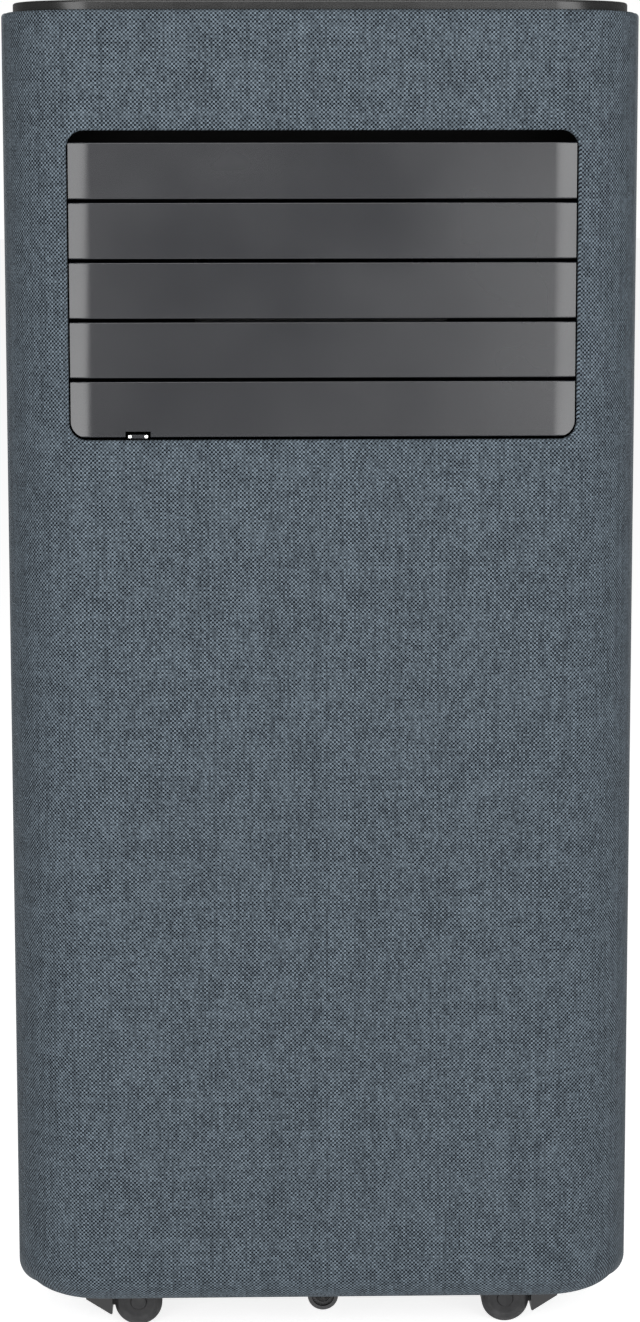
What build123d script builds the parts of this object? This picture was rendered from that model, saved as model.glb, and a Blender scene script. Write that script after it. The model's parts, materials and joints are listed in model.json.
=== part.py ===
from build123d import *
import math
import os

# Portable air conditioner: a fabric-fronted cabinet on four swivel casters.
# Five linked louvers close the air outlet at the top of the front. The control panel is on
# top, and the two intake grilles and the exhaust collar are in the back.
# Millimetres, +Z up, the front faces -Y, and the origin is on the floor at the middle.

# ---------------------------------------------------------------- driving dimensions
cabinet_width = 330.0
cabinet_depth = 330.0
casing_height = 680.0
corner_radius = 47.0
wall = 3.0
housing_bottom_radius = 14.0
rim_radius = 2.2
rim_flange = 16.0
bottom_lip = 30.0

cover_depth = 43.5
cover_step = 1.2
cover_bottom_radius = 19.0
cover_wall = 2.6
fabric = 0.9
seam_gap = 0.6
tongue = 8.0

top_reveal = 5.0
top_inset = 6.0
top_ledge = 6.0
panel_thickness = 2.0
panel_sink = 1.0

collar_reach = 10.0
collar_bore_radius = 75.0
collar_wall = 4.0
collar_depth = 22.0
collar_height = 350.0

outlet_side_margin = 34.7
outlet_top_margin = 60.2
outlet_corner = 9.0
louver_count = 5
louver_height = 28.5
louver_gap = 1.75
louver_thickness = 2.5
louver_recess = 0.6
louver_side_gap = 0.9
louver_top_gap = 6.1
louver_bottom_gap = 1.5
pivot_radius = 2.0
pivot_setback = 7.0
crank_radius = 12.5
crank_pin_radius = 1.5
crank_thickness = 2.5
link_thickness = 2.5
link_width = 5.0
frame_depth = 38.0
frame_wall = 3.0
motor_radius = 12.0
motor_length = 13.0
motor_post_gap = 7.0
notch_width = 13.0
notch_height = 3.0
notch_from_edge = 35.3

wheel_radius = 13.0
wheel_width = 8.0
wheel_spacing = 4.6
wheel_headroom = 1.0
caster_inset_x = 51.7
caster_inset_y = 60.0
caster_trail = 12.7
caster_plate_radius = 16.0
caster_plate_height = 9.0
stem_radius = 4.0
axle_radius = 2.0
socket_height = 18.0

base_inset = 20.0
base_floor = 4.0
base_wall_height = 26.0
spout_radius = 8.3
spout_bore = 4.6
spout_length = 30.0
rear_spout_radius = 8.0
rear_spout_bore = 5.0

button_count = 6
button_radius = 10.0
button_travel = 1.0
button_pitch = 28.0
button_first = 54.0
display_width = 72.0
display_depth = 26.0
controls_setback = 54.0
board_drop = 11.0
board_thickness = 1.6
board_depth = 44.0

grille_side_margin = 58.0
grille_thickness = 3.0
grille_gap = 0.6
grille_rib = 3.6
grille_slot = 4.4
upper_grille_height = 196.0
upper_grille_top_margin = 62.0
lower_grille_height = 150.0
lower_grille_bottom_margin = 64.0
filter_thickness = 4.0
filter_gap = 1.0
coil_thickness = 30.0
coil_gap = 4.0

deck_height = 440.0
deck_thickness = 2.0

upper_wheel_radius = 62.0
upper_wheel_width = 120.0
lower_wheel_radius = 50.0
lower_wheel_width = 66.0
blower_wall = 2.5
blower_side_gap = 6.0
blade_count = 24

compressor_radius = 52.0
compressor_height = 168.0

handle_length = 104.0
handle_height = 34.0
handle_depth = 24.0
handle_wall = 2.5
handle_drop = 110.0

fit_gap = 0.3
running_gap = 0.08
screw_radius = 1.9
screw_head_radius = 3.8
screw_head_height = 1.6
pipe_radius = 4.0
pipe_bend = 14.0

# ---------------------------------------------------------------- places that follow
base_clearance = 2 * wheel_radius + wheel_headroom
y_front = -(cabinet_depth + collar_reach) / 2
y_back = y_front + cabinet_depth
y_middle = (y_front + y_back) / 2
y_seam = y_front + cover_depth
y_side_seam = y_back - corner_radius - 6.0
x_side = cabinet_width / 2
z_bottom = base_clearance
z_rim = z_bottom + casing_height
z_top = z_rim + top_reveal
z_lip = z_bottom + wall
z_floor = z_lip + fit_gap
z_tray = z_floor + base_floor

cover_inner = fabric + cover_wall
outlet_width = cabinet_width - 2 * outlet_side_margin
louver_pitch = louver_height + louver_gap
outlet_height = louver_count * louver_pitch - louver_gap + louver_top_gap + louver_bottom_gap
outlet_top = z_rim - outlet_top_margin
outlet_bottom = outlet_top - outlet_height
outlet_middle = (outlet_top + outlet_bottom) / 2
louver_width = outlet_width - 2 * louver_side_gap
cheek_inner = outlet_width / 2 + fit_gap
cheek_outer = cheek_inner + frame_wall
link_x = cheek_outer + 1.0
crank_x = link_x + link_thickness + 0.5


def cover_y(x, inset):
    """Y of the front cover's surface, set in by inset, at a distance x from the middle."""
    radius = corner_radius - cover_step
    bend = abs(x) - (x_side - corner_radius)
    if bend <= 0:
        return y_front + inset
    return y_front + radius - math.sqrt((radius - inset) ** 2 - bend ** 2)


frame_front = cover_y(cheek_outer, cover_inner) + 0.5
frame_back = frame_front + frame_depth
pivot_y = frame_front + pivot_setback
pivot_heights = [
    outlet_bottom + louver_bottom_gap + louver_height / 2 + i * louver_pitch
    for i in reversed(range(louver_count))
]
drive_y = pivot_y + crank_radius + motor_radius + 8.0
drive_z = pivot_heights[louver_count // 2]
caster_x = x_side - caster_inset_x
caster_front_y = y_front + caster_inset_y
caster_back_y = y_back - caster_inset_y
caster_places = {
    "front_left": (-caster_x, caster_front_y, 0),
    "front_right": (caster_x, caster_front_y, 180),
    "rear_left": (-caster_x, caster_back_y, 90),
    "rear_right": (caster_x, caster_back_y, 90),
}
pocket_ceiling = z_floor + caster_plate_height - 1.2
spout_y = y_front + bottom_lip + 2.0
spout_z = z_floor - spout_radius + 0.4
rear_spout_x = 88.0
rear_spout_z = z_tray + rear_spout_radius + 11.0

panel_top = z_top - panel_sink
panel_bottom = panel_top - panel_thickness
controls_y = y_front + controls_setback
board_top = panel_bottom - board_drop
button_names = ("power", "mode", "fan", "down", "up", "timer")
button_xs = [
    side * (button_first + button_pitch * i)
    for side, steps in ((-1, (2, 1, 0)), (1, (0, 1, 2)))
    for i in steps
]

grille_width = cabinet_width - 2 * grille_side_margin
upper_grille_z = z_rim - upper_grille_top_margin - upper_grille_height / 2
lower_grille_z = z_bottom + lower_grille_bottom_margin + lower_grille_height / 2
filter_y = y_back - grille_thickness - filter_gap - filter_thickness
coil_y = filter_y - coil_gap - coil_thickness
handle_z = z_rim - handle_drop

upper_scroll = upper_wheel_radius + 9.0
upper_growth = 13.0
lower_scroll = lower_wheel_radius + 8.0
lower_growth = 10.0
upper_blower_y = coil_y - 14.0 - upper_scroll - upper_growth
upper_blower_z = outlet_top - frame_wall - upper_scroll - 3 * upper_growth
lower_mouth_low = 8.0
lower_blower_y = 34.0
lower_blower_z = collar_height - (lower_scroll + 3 * lower_growth + lower_mouth_low) / 2
upper_housing_width = upper_wheel_width + 2 * (blower_side_gap + blower_wall)
lower_housing_width = lower_wheel_width + 2 * (blower_side_gap + blower_wall)
compressor_place = (-52.0, y_front + 108.0)
compressor_foot = 12.0


# ---------------------------------------------------------------- shape helpers
def block(x0, x1, y0, y1, z0, z1):
    """A box between two corners."""
    centre = ((x0 + x1) / 2, (y0 + y1) / 2, (z0 + z1) / 2)
    return Pos(*centre) * Box(x1 - x0, y1 - y0, z1 - z0)


def upright(x, y, radius, z0, z1):
    """A cylinder along Z."""
    return Pos(x, y, (z0 + z1) / 2) * Cylinder(radius, z1 - z0)


def across(x0, x1, y, z, radius):
    """A cylinder along X."""
    return Pos((x0 + x1) / 2, y, z) * Rot(0, 90, 0) * Cylinder(radius, x1 - x0)


def fore(x, y0, y1, z, radius):
    """A cylinder along Y."""
    return Pos(x, (y0 + y1) / 2, z) * Rot(90, 0, 0) * Cylinder(radius, y1 - y0)


def level_edges(solid, at_bottom):
    """The edges that lie flat in a solid's lowest or highest plane."""
    return solid.edges().group_by(Axis.Z)[0 if at_bottom else -1]


def casing(inset, z0, z1, bottom=0.0, top=0.0):
    """The cabinet's rounded plan, set in by inset, between two heights."""
    plan = RectangleRounded(
        cabinet_width - 2 * inset, cabinet_depth - 2 * inset, corner_radius - inset
    )
    solid = extrude(Pos(0, y_middle, z0) * plan, z1 - z0)
    if bottom > 0:
        solid = fillet(level_edges(solid, True), bottom)
    if top > 0:
        solid = fillet(level_edges(solid, False), top)
    return solid


def cover_form(inset, z0, z1, bottom=0.0, top=0.0):
    """The front cover's outer form, set in by inset; it is a step narrower than the cabinet."""
    width = cabinet_width - 2 * (cover_step + inset)
    radius = corner_radius - cover_step - inset
    depth = cabinet_depth - 2 * inset
    solid = extrude(Pos(0, y_middle, z0) * RectangleRounded(width, depth, radius), z1 - z0)
    if bottom > 0:
        solid = fillet(level_edges(solid, True), bottom)
    if top > 0:
        solid = fillet(level_edges(solid, False), top)
    return solid


def ahead_of(y):
    """Everything in front of a plane across the cabinet."""
    return block(-cabinet_width, cabinet_width, y_front - 50, y, -10, z_top + 50)


def behind(y):
    """Everything behind a plane across the cabinet."""
    return block(-cabinet_width, cabinet_width, y, y_back + 100, -10, z_top + 50)


def outlet_hole(grow, y0, y1):
    """The air outlet's rounded opening as a prism, made larger by grow on every side."""
    face = RectangleRounded(
        outlet_width + 2 * grow, outlet_height + 2 * grow, outlet_corner + grow
    )
    return extrude(Pos(0, y1, outlet_middle) * Rot(90, 0, 0) * face, y1 - y0)


def back_panel(width, height, radius, y0, y1, z):
    """A rounded upright panel across the back."""
    face = Pos(0, y1, z) * Rot(90, 0, 0) * RectangleRounded(width, height, radius)
    return extrude(face, y1 - y0)


def lip_screw_places():
    """Where the casing's bottom lip is screwed to the base."""
    inset = bottom_lip - 4.0
    reach = cabinet_width / 4
    return [
        (-reach, y_front + inset),
        (reach, y_front + inset),
        (-reach, y_back - inset),
        (reach, y_back - inset),
        (-x_side + inset, y_middle),
        (x_side - inset, y_middle),
    ]


def back_screw_places():
    """Where the housing's back is screwed to the deck's flange."""
    return [(side * (grille_width / 2 + 5.5), deck_height + 9.0) for side in (-1, 1)]


# ---------------------------------------------------------------- casing
def make_front_cover():
    """The stiff moulding of the front cover, with its outlet, top flange and bottom lip."""
    outer = cover_form(
        fabric, z_bottom + fabric, z_rim - fabric,
        cover_bottom_radius - fabric, rim_radius - fabric,
    )
    inner = cover_form(
        cover_inner, z_lip, z_rim - wall, cover_bottom_radius - cover_inner
    )
    shell = outer - inner
    shell -= cover_form(bottom_lip, z_bottom - 1, z_lip + 5)
    shell -= casing(rim_flange, z_rim - 2 * wall, z_rim + 1)
    shell -= outlet_hole(fabric, y_front - 5, y_front + 30)
    shell -= behind(y_seam - seam_gap / 2)
    rib = casing(wall + 0.5, z_lip + 30, z_rim - wall - 3) - casing(
        wall + 2.6, z_lip + 29, z_rim - wall - 2
    )
    rib -= ahead_of(y_seam - 6)
    rib -= behind(y_seam + tongue)
    for x, y in lip_screw_places()[:2]:
        shell -= upright(x, y, screw_radius + 0.2, z_bottom - 1, z_lip + 3)
        shell -= upright(x, y, screw_head_radius + 0.3, z_bottom, z_bottom + screw_head_height)
    return shell + rib


def make_front_fabric():
    """The fabric bonded over the front cover, turned in at the outlet and at the rim."""
    outer = cover_form(0, z_bottom, z_rim, cover_bottom_radius, rim_radius)
    inner = cover_form(
        fabric, z_bottom + fabric, z_rim - fabric,
        cover_bottom_radius - fabric, rim_radius - fabric,
    )
    skin = outer - inner
    skin -= cover_form(bottom_lip, z_bottom - 1, z_lip)
    skin -= casing(rim_flange, z_rim - wall, z_rim + 1)
    lining = cover_form(0.5 * fabric, z_bottom + 5, z_rim - 5) - cover_form(
        cover_inner, z_bottom + 4, z_rim - 4
    )
    skin += lining & outlet_hole(fabric, y_front - 5, y_front + 30)
    skin -= outlet_hole(0, y_front - 5, y_front + 30)
    skin -= behind(y_seam - seam_gap / 2)
    for x, y in lip_screw_places()[:2]:
        skin -= upright(x, y, screw_head_radius + 0.4, z_bottom - 1, z_bottom + 2 * fabric)
    return skin


def make_rear_housing():
    """The housing's three mouldings, left side, right side and back, with every hole in them."""
    shell = casing(0, z_bottom, z_rim, housing_bottom_radius, rim_radius)
    shell -= casing(wall, z_lip, z_rim - wall, housing_bottom_radius - wall)
    shell -= casing(bottom_lip, z_bottom - 1, z_lip + 5)
    shell -= casing(rim_flange, z_rim - 2 * wall, z_rim + 1)
    shell -= ahead_of(y_seam + seam_gap / 2)
    for height, z in (
        (upper_grille_height, upper_grille_z),
        (lower_grille_height, lower_grille_z),
    ):
        shell -= back_panel(grille_width, height, 8.0, y_back - 10, y_back + 1, z)
    shell -= fore(
        0, y_back - 10, y_back + 1, collar_height, collar_bore_radius + collar_wall + fit_gap
    )
    shell -= fore(rear_spout_x, y_back - 10, y_back + 1, rear_spout_z, rear_spout_radius + 0.6)
    shell -= fore(-rear_spout_x, y_back - 10, y_back + 1, rear_spout_z, 9.0)
    for side in (-1, 1):
        cup = Box(30, handle_length + 2 * fit_gap, handle_height + 2 * fit_gap)
        shell -= Pos(side * x_side, y_middle, handle_z) * fillet(cup.edges() | Axis.X, 9.0)
    for x, y in lip_screw_places()[2:]:
        shell -= upright(x, y, screw_radius + 0.2, z_bottom - 1, z_lip + 3)
        shell -= upright(x, y, screw_head_radius + 0.3, z_bottom - 1, z_bottom + screw_head_height)
    for x, z in back_screw_places():
        shell -= fore(x, y_back - 10, y_back + 1, z, screw_radius + 0.2)
        shell -= fore(x, y_back - screw_head_height, y_back + 1, z, screw_head_radius + 0.3)
    sides = shell & ahead_of(y_side_seam - seam_gap / 2)
    back = shell - ahead_of(y_side_seam + seam_gap / 2)
    return Compound(children=[*sides.solids(), *back.solids()])


def make_top_trim():
    """The black rim that stands on the casing's flange and holds the control panel."""
    rim = casing(top_inset, z_rim + fit_gap, z_top, 0, 1.3)
    rim -= casing(top_inset + top_ledge, panel_bottom, z_top + 1)
    rim -= casing(rim_flange + 6, z_rim - 1, z_top + 1)
    skirt = casing(rim_flange + 0.4, z_rim - 10, z_rim + fit_gap + 0.5)
    skirt -= casing(rim_flange + 3, z_rim - 11, z_rim + 1)
    return rim + skirt


def make_side_handles():
    """The two recessed hand grips, one in each side wall."""
    cups = []
    for side in (-1, 1):
        outer = Box(handle_depth, handle_length, handle_height)
        outer = fillet(outer.edges() | Axis.X, 9.0 - fit_gap)
        inner = Box(
            handle_depth, handle_length - 2 * handle_wall, handle_height - 2 * handle_wall
        )
        inner = fillet(inner.edges() | Axis.X, 9.0 - fit_gap - handle_wall)
        cup = Pos(side * (x_side - handle_depth / 2), y_middle, handle_z) * outer
        cup -= Pos(side * (x_side - handle_depth / 2 + handle_wall), y_middle, handle_z) * inner
        cups.append(cup)
    return Compound(children=cups)


# ---------------------------------------------------------------- base and casters
def make_base_pan():
    """The moulded base: condensate tray, caster sockets, front spout and rear spout."""
    pan = casing(base_inset, z_floor, z_floor + base_wall_height, 0, 0)
    pan -= casing(base_inset + wall, z_tray, z_floor + base_wall_height + 1)
    dome = caster_plate_radius + 2.5
    for x, y, _ in caster_places.values():
        pan += upright(x, y, dome + wall, z_floor, pocket_ceiling + wall)
        pan += upright(x, y, stem_radius + 4.0, z_floor, pocket_ceiling + socket_height)
    for x, y, _ in caster_places.values():
        pan -= upright(x, y, dome, z_floor - 1, pocket_ceiling)
        pan -= upright(x, y, stem_radius + running_gap, z_floor, pocket_ceiling + socket_height + 1)
    pan += fore(0, spout_y, spout_y + spout_length, spout_z, spout_radius)
    pan += block(-3, 3, spout_y + 6, spout_y + spout_length, spout_z, z_floor + 1)
    pan -= fore(0, spout_y - 1, spout_y + spout_length - wall, spout_z, spout_bore)
    pan -= fore(0, spout_y - 1, spout_y + 2.4, spout_z, spout_bore + 1.7)
    pan -= upright(0, spout_y + spout_length - 9, 2.4, spout_z, z_tray + 1)
    pan += fore(
        rear_spout_x, y_back - base_inset - wall, y_back + 4.0, rear_spout_z, rear_spout_radius
    )
    pan -= fore(
        rear_spout_x, y_back - base_inset - 2 * wall, y_back + 5, rear_spout_z, rear_spout_bore
    )
    for x, y in lip_screw_places():
        pan -= upright(x, y, screw_radius, z_floor - 1, z_tray + 1)
    return pan


def make_caster_yoke():
    """A caster's moulded body with its steel stem and axle, trailing along +X from the stem."""
    top = z_floor + caster_plate_height - 1.7
    under = 2 * wheel_radius + 1.6
    half = wheel_spacing / 2 + wheel_width
    web = wheel_spacing / 2 - 0.4
    plate = upright(0, 0, caster_plate_radius, under, top)
    edge = caster_trail - wheel_radius - 1.3
    guard_face = Polygon(
        (-16.0, under + 1), (-16.0, 15.0), (edge - 0.7, 6.2), (edge, 6.8), (edge, under + 1),
        align=None,
    )
    guard = Rot(90, 0, 0) * Pos(0, 0, -half) * extrude(guard_face, 2 * half)
    rail_face = Polygon(
        (-2.0, under + 1), (-2.0, 9.0), (caster_trail, wheel_radius - 5),
        (caster_trail + 5, wheel_radius), (12.0, under + 1),
        align=None,
    )
    rail = Rot(90, 0, 0) * Pos(0, 0, -web) * extrude(rail_face, 2 * web)
    guard &= upright(0, 0, caster_plate_radius + 3.0, 0, top)
    body = plate + guard + rail
    body -= fore(caster_trail, -half, half, wheel_radius, axle_radius)
    body -= upright(0, 0, stem_radius, under + 1.5, top + 1)
    stem = upright(0, 0, stem_radius, under + 1.5, pocket_ceiling + socket_height - 2)
    axle = fore(caster_trail, -half + 0.8, half - 0.8, wheel_radius, axle_radius)
    return [body, stem, axle]


def make_caster_wheels():
    """The two wheels of one caster, side by side on its axle."""
    wheels = []
    inner_edge = wheel_spacing / 2
    for side in (-1, 1):
        face = Polygon(
            (axle_radius + running_gap, 0.0), (wheel_radius - 1.2, 0.0),
            (wheel_radius, 1.4), (wheel_radius, wheel_width - 2.2),
            (wheel_radius - 2.0, wheel_width - 0.4), (wheel_radius - 4.2, wheel_width - 1.4),
            (4.6, wheel_width - 1.0), (4.0, wheel_width), (0.0, wheel_width),
            (0.0, wheel_width - 0.7), (axle_radius + running_gap, wheel_width - 0.7),
            align=None,
        )
        wheel = revolve(Plane.XZ * face, Axis.Z)
        wheel = Rot(-90 * side, 0, 0) * wheel
        wheels.append(Pos(caster_trail, side * inner_edge, wheel_radius) * wheel)
    return wheels


def placed(solids, place):
    """Solids drawn about a caster's stem, moved to one of the four caster places."""
    x, y, turn = place
    return Compound(children=[Pos(x, y, 0) * Rot(0, 0, turn) * solid for solid in solids])


def make_front_drain_plug():
    """The rubber bung in the front spout, with a small pull tab."""
    plug = fore(0, spout_y + 3.0, spout_y + 18.0, spout_z, spout_bore - 0.05)
    tab = block(-1.0, 1.0, spout_y + 0.6, spout_y + 4.0, spout_z - 2.6, spout_z + 2.6)
    return plug + tab


def make_rear_drain_plug():
    """The rubber cap on the rear spout."""
    stem = fore(rear_spout_x, y_back - 12.0, y_back + 5.0, rear_spout_z, rear_spout_bore - 0.05)
    cap = fore(rear_spout_x, y_back + 4.3, y_back + 7.3, rear_spout_z, rear_spout_radius + 1.5)
    return stem + fillet(cap.edges().group_by(Axis.Y)[-1], 1.0)


# ---------------------------------------------------------------- louvers and their drive
def make_louver(index):
    """One louver: a blade with curved ends, two end ears and their pivot pins."""
    z = pivot_heights[index]
    low, high = z - louver_height / 2, z + louver_height / 2
    blade = cover_form(louver_recess, low, high) - cover_form(
        louver_recess + louver_thickness, low - 1, high + 1
    )
    half = louver_width / 2
    blade &= block(-half, half, y_front - 1, y_front + 12, low, high)
    front_edges = [
        edge for edge in blade.edges()
        if edge.center().Y < cover_y(edge.center().X, louver_recess) + 0.2
        and abs(edge.center().X) < half - 1 and abs(edge.tangent_at(0.5).Z) < 0.5
    ]
    blade = fillet(front_edges, 0.7)
    if index == louver_count - 1:
        blade &= extrude(
            Pos(0, y_front + 20, (low + high) / 2 + outlet_corner)
            * Rot(90, 0, 0)
            * RectangleRounded(
                louver_width, louver_height + 2 * outlet_corner, outlet_corner - louver_side_gap
            ),
            30,
        )
        notch_x = -outlet_width / 2 + notch_from_edge
        blade -= block(
            notch_x - notch_width / 2, notch_x + notch_width / 2,
            y_front - 1, y_front + 12, low - 1, low + notch_height,
        )
    ear_in = half - 2.4
    ear_front = cover_y(half, louver_recess + louver_thickness) - 1.4
    for side in (-1, 1):
        face = Polygon(
            (ear_front, z + 8.0), (ear_front, z - 8.0), (pivot_y + 1.5, z - 3.6),
            (pivot_y + 1.5, z + 3.6), align=None,
        )
        ear = extrude(Plane.YZ * face, half - ear_in)
        blade += Pos(ear_in if side > 0 else -half, 0, 0) * ear
        blade += across(
            *sorted((side * ear_in, side * half)), pivot_y, z, 3.8
        )
    blade += across(-cheek_outer - 1.0, -half + 0.5, pivot_y, z, pivot_radius)
    blade += across(half - 0.5, crank_x + crank_thickness, pivot_y, z, pivot_radius)
    return blade


def make_crank(y, z, shaft_radius):
    """A crank lever on a shaft at (y, z): its pin points back towards the link bar."""
    arm = across(crank_x, crank_x + crank_thickness, y, z, 3.4)
    arm += across(crank_x, crank_x + crank_thickness, y + crank_radius, z, 2.6)
    arm += block(crank_x, crank_x + crank_thickness, y, y + crank_radius, z - 2.2, z + 2.2)
    arm += across(link_x - 0.2, crank_x + 0.5, y + crank_radius, z, crank_pin_radius)
    return arm - across(crank_x - 1, crank_x + crank_thickness + 1, y, z, shaft_radius)


def make_link_bar():
    """The flat bar that ties the five cranks and the motor's crank together."""
    y = pivot_y + crank_radius
    low = pivot_heights[-1] - 5.0
    high = pivot_heights[0] + 5.0
    inner, outer = link_x, link_x + link_thickness
    bar = block(inner, outer, y - link_width / 2, y + link_width / 2, low, high)
    lug_end = drive_y + crank_radius
    bar += block(inner, outer, y, lug_end, drive_z - link_width / 2, drive_z + link_width / 2)
    bar += across(inner, outer, lug_end, drive_z, 3.6)
    for z in pivot_heights:
        bar += across(inner, outer, y, z, 3.4)
    for z in pivot_heights:
        bar -= across(inner - 1, outer + 1, y, z, crank_pin_radius + running_gap)
    return bar - across(inner - 1, outer + 1, lug_end, drive_z, crank_pin_radius + running_gap)


def make_louver_motor():
    """The stepper motor that turns the drive crank, with its two fixing ears."""
    start = crank_x + crank_thickness + 1.5
    body = across(start, start + motor_length, drive_y, drive_z, motor_radius)
    body = fillet(body.edges().group_by(Axis.X)[-1], 1.2)
    reach = motor_radius + motor_post_gap + 3.5
    ears = block(
        start, start + 1.2, drive_y - 4.0, drive_y + 4.0, drive_z - reach, drive_z + reach
    )
    for side in (-1, 1):
        centre = drive_z + side * (motor_radius + motor_post_gap)
        ears -= across(start - 1, start + 3, drive_y, centre, 1.8)
    return body + ears


def make_drive_crank():
    """The crank on the motor's shaft, with the shaft itself as part of it."""
    crank = make_crank(drive_y, drive_z, pivot_radius)
    return crank + across(crank_x, crank_x + crank_thickness + 1.3, drive_y, drive_z, pivot_radius)


def make_outlet_frame():
    """The box behind the louvers: cheeks with pivot holes, motor posts and a back wall."""
    grow_x = cheek_outer - outlet_width / 2
    top, bottom = outlet_top + frame_wall + fit_gap, outlet_bottom - frame_wall - fit_gap
    frame = block(-cheek_outer, cheek_outer, frame_front, frame_back, bottom, top)
    frame -= block(
        -cheek_inner, cheek_inner, frame_front - 1, frame_back - frame_wall,
        bottom + frame_wall, top - frame_wall,
    )
    mouth = upper_housing_width / 2 - blower_wall
    mouth_low = upper_blower_z + 14.0
    frame -= block(
        -mouth, mouth, frame_back - 10, frame_back + 1, mouth_low, outlet_top - 2 * frame_wall
    )
    flange_low = outlet_bottom - 9.0
    frame += block(-outlet_width / 2, outlet_width / 2, frame_front, frame_front + 2, flange_low, bottom)
    for z in pivot_heights:
        for side in (-1, 1):
            inner, outer = side * (cheek_inner - 1), side * (cheek_inner + grow_x)
            frame -= across(*sorted((inner, outer)), pivot_y, z, pivot_radius + running_gap)
    post_end = crank_x + crank_thickness + 1.5
    for side in (-1, 1):
        centre = drive_z + side * (motor_radius + motor_post_gap)
        frame += across(cheek_outer - 1, post_end, drive_y, centre, 3.4)
        frame -= across(cheek_outer + 1, post_end + 1, drive_y, centre, 1.3)
    return frame


def make_louver_catch():
    """The small catch that shows in the lowest louver's notch."""
    x = -outlet_width / 2 + notch_from_edge
    low = outlet_bottom
    bar = block(x - 5.1, x + 5.1, y_front + 1.2, frame_front + 14, low + 0.8, low + 2.9)
    bar = fillet(bar.edges().group_by(Axis.Y)[0], 0.5)
    return bar + block(
        x - 4.0, x + 4.0, frame_front + 0.5, frame_front + 14, low - fit_gap, low + 1.2
    )


# ---------------------------------------------------------------- control panel
def make_control_panel():
    """The gloss panel in the rim, with its key holes, display window and board posts."""
    panel = casing(top_inset + top_ledge + fit_gap, panel_bottom, panel_top, 0, 0.6)
    for x in button_xs:
        panel -= upright(x, controls_y, button_radius + fit_gap, panel_bottom - 1, panel_top + 1)
    window = Pos(0, controls_y, panel_bottom - 1) * RectangleRounded(
        display_width + 2 * fit_gap, display_depth + 2 * fit_gap, 4.0
    )
    panel -= extrude(window, panel_thickness + 2)
    for x in (-display_width / 2 - 4.5, display_width / 2 + 4.5):
        for y in (controls_y - board_depth / 2 + 4, controls_y + board_depth / 2 - 4):
            panel += upright(x, y, 2.5, board_top, panel_bottom + 0.5)
    return panel


def make_display_window():
    """The smoked window over the two-digit display."""
    face = RectangleRounded(display_width, display_depth, 4.0 - fit_gap)
    lens = extrude(Pos(0, controls_y, panel_bottom - 1.0) * face, panel_thickness + 1.0)
    return lens


def make_button(index):
    """One round key: its cap stands through the panel and its flange keeps it in."""
    x = button_xs[index]
    flange_top = panel_bottom - 0.3
    flange_low = flange_top - 1.6
    cap = upright(x, controls_y, button_radius, flange_low, panel_top + 0.6)
    cap = fillet(level_edges(cap, False), 0.8)
    return cap + upright(x, controls_y, button_radius + 1.6, flange_low, flange_top)


def make_control_board():
    """The circuit board under the panel, with one switch below each key and the display."""
    reach = button_xs[-1] + button_radius + 4.0
    board = block(
        -reach, reach, controls_y - board_depth / 2, controls_y + board_depth / 2,
        board_top - board_thickness, board_top,
    )
    key_low = panel_bottom - 1.9
    switch_top = key_low - button_travel - 0.1
    parts = [board]
    for x in button_xs:
        parts.append(block(x - 3, x + 3, controls_y - 3, controls_y + 3, board_top, switch_top - 1.5))
        parts.append(upright(x, controls_y, 1.7, switch_top - 1.5, switch_top))
    parts.append(
        block(-25, 25, controls_y - 10, controls_y + 10, board_top, panel_bottom - 2.0)
    )
    return Compound(children=parts)


# ---------------------------------------------------------------- back
def make_grille(height, z):
    """A pull-off intake grille: a rounded plate with rows of slots in two columns."""
    width = grille_width - 2 * grille_gap
    high = height - 2 * grille_gap
    plate = back_panel(width, high, 8.0 - grille_gap, y_back - grille_thickness, y_back, z)
    pitch = grille_rib + grille_slot
    rows = int((high - 20.0) // pitch)
    columns = 2
    slot_length = (width - 24.0 - 6.0 * (columns - 1)) / columns
    slots = []
    for row in range(rows):
        slot_z = z + (row - (rows - 1) / 2) * pitch
        for column in range(columns):
            slot_x = (column - (columns - 1) / 2) * (slot_length + 6.0)
            face = Pos(slot_x, y_back + 1, slot_z) * Rot(90, 0, 0) * SlotOverall(
                slot_length, grille_slot
            )
            slots.append(extrude(face, grille_thickness + 2))
    plate -= slots
    inner = y_back - grille_thickness
    for side in (-1, 1):
        edge = z + side * (high / 2 - 4.0)
        plate += block(
            -width / 2 + 6, width / 2 - 6, filter_y, inner + 0.5, edge - 1.2, edge + 1.2
        )
    return plate


def make_filter(height, z):
    """The dust filter held behind a grille: a ribbed frame and its fine mesh."""
    width = grille_width - 24.0
    high = height - 2 * grille_gap - 12.0
    y0, y1 = filter_y, filter_y + filter_thickness - filter_gap
    frame = block(-width / 2, width / 2, y0, y1, z - high / 2, z + high / 2)
    columns = 3
    cell = (width - 5.0 * (columns + 1)) / columns
    rows = 2
    cell_high = (high - 5.0 * (rows + 1)) / rows
    windows = []
    for column in range(columns):
        for row in range(rows):
            x0 = -width / 2 + 5.0 + column * (cell + 5.0)
            z0 = z - high / 2 + 5.0 + row * (cell_high + 5.0)
            windows.append(block(x0, x0 + cell, y0 - 1, y1 + 1, z0, z0 + cell_high))
    frame -= windows
    middle = (y0 + y1) / 2
    return frame + block(
        -width / 2 + 2, width / 2 - 2, middle - 0.3, middle + 0.3, z - high / 2 + 2, z + high / 2 - 2
    )


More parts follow.
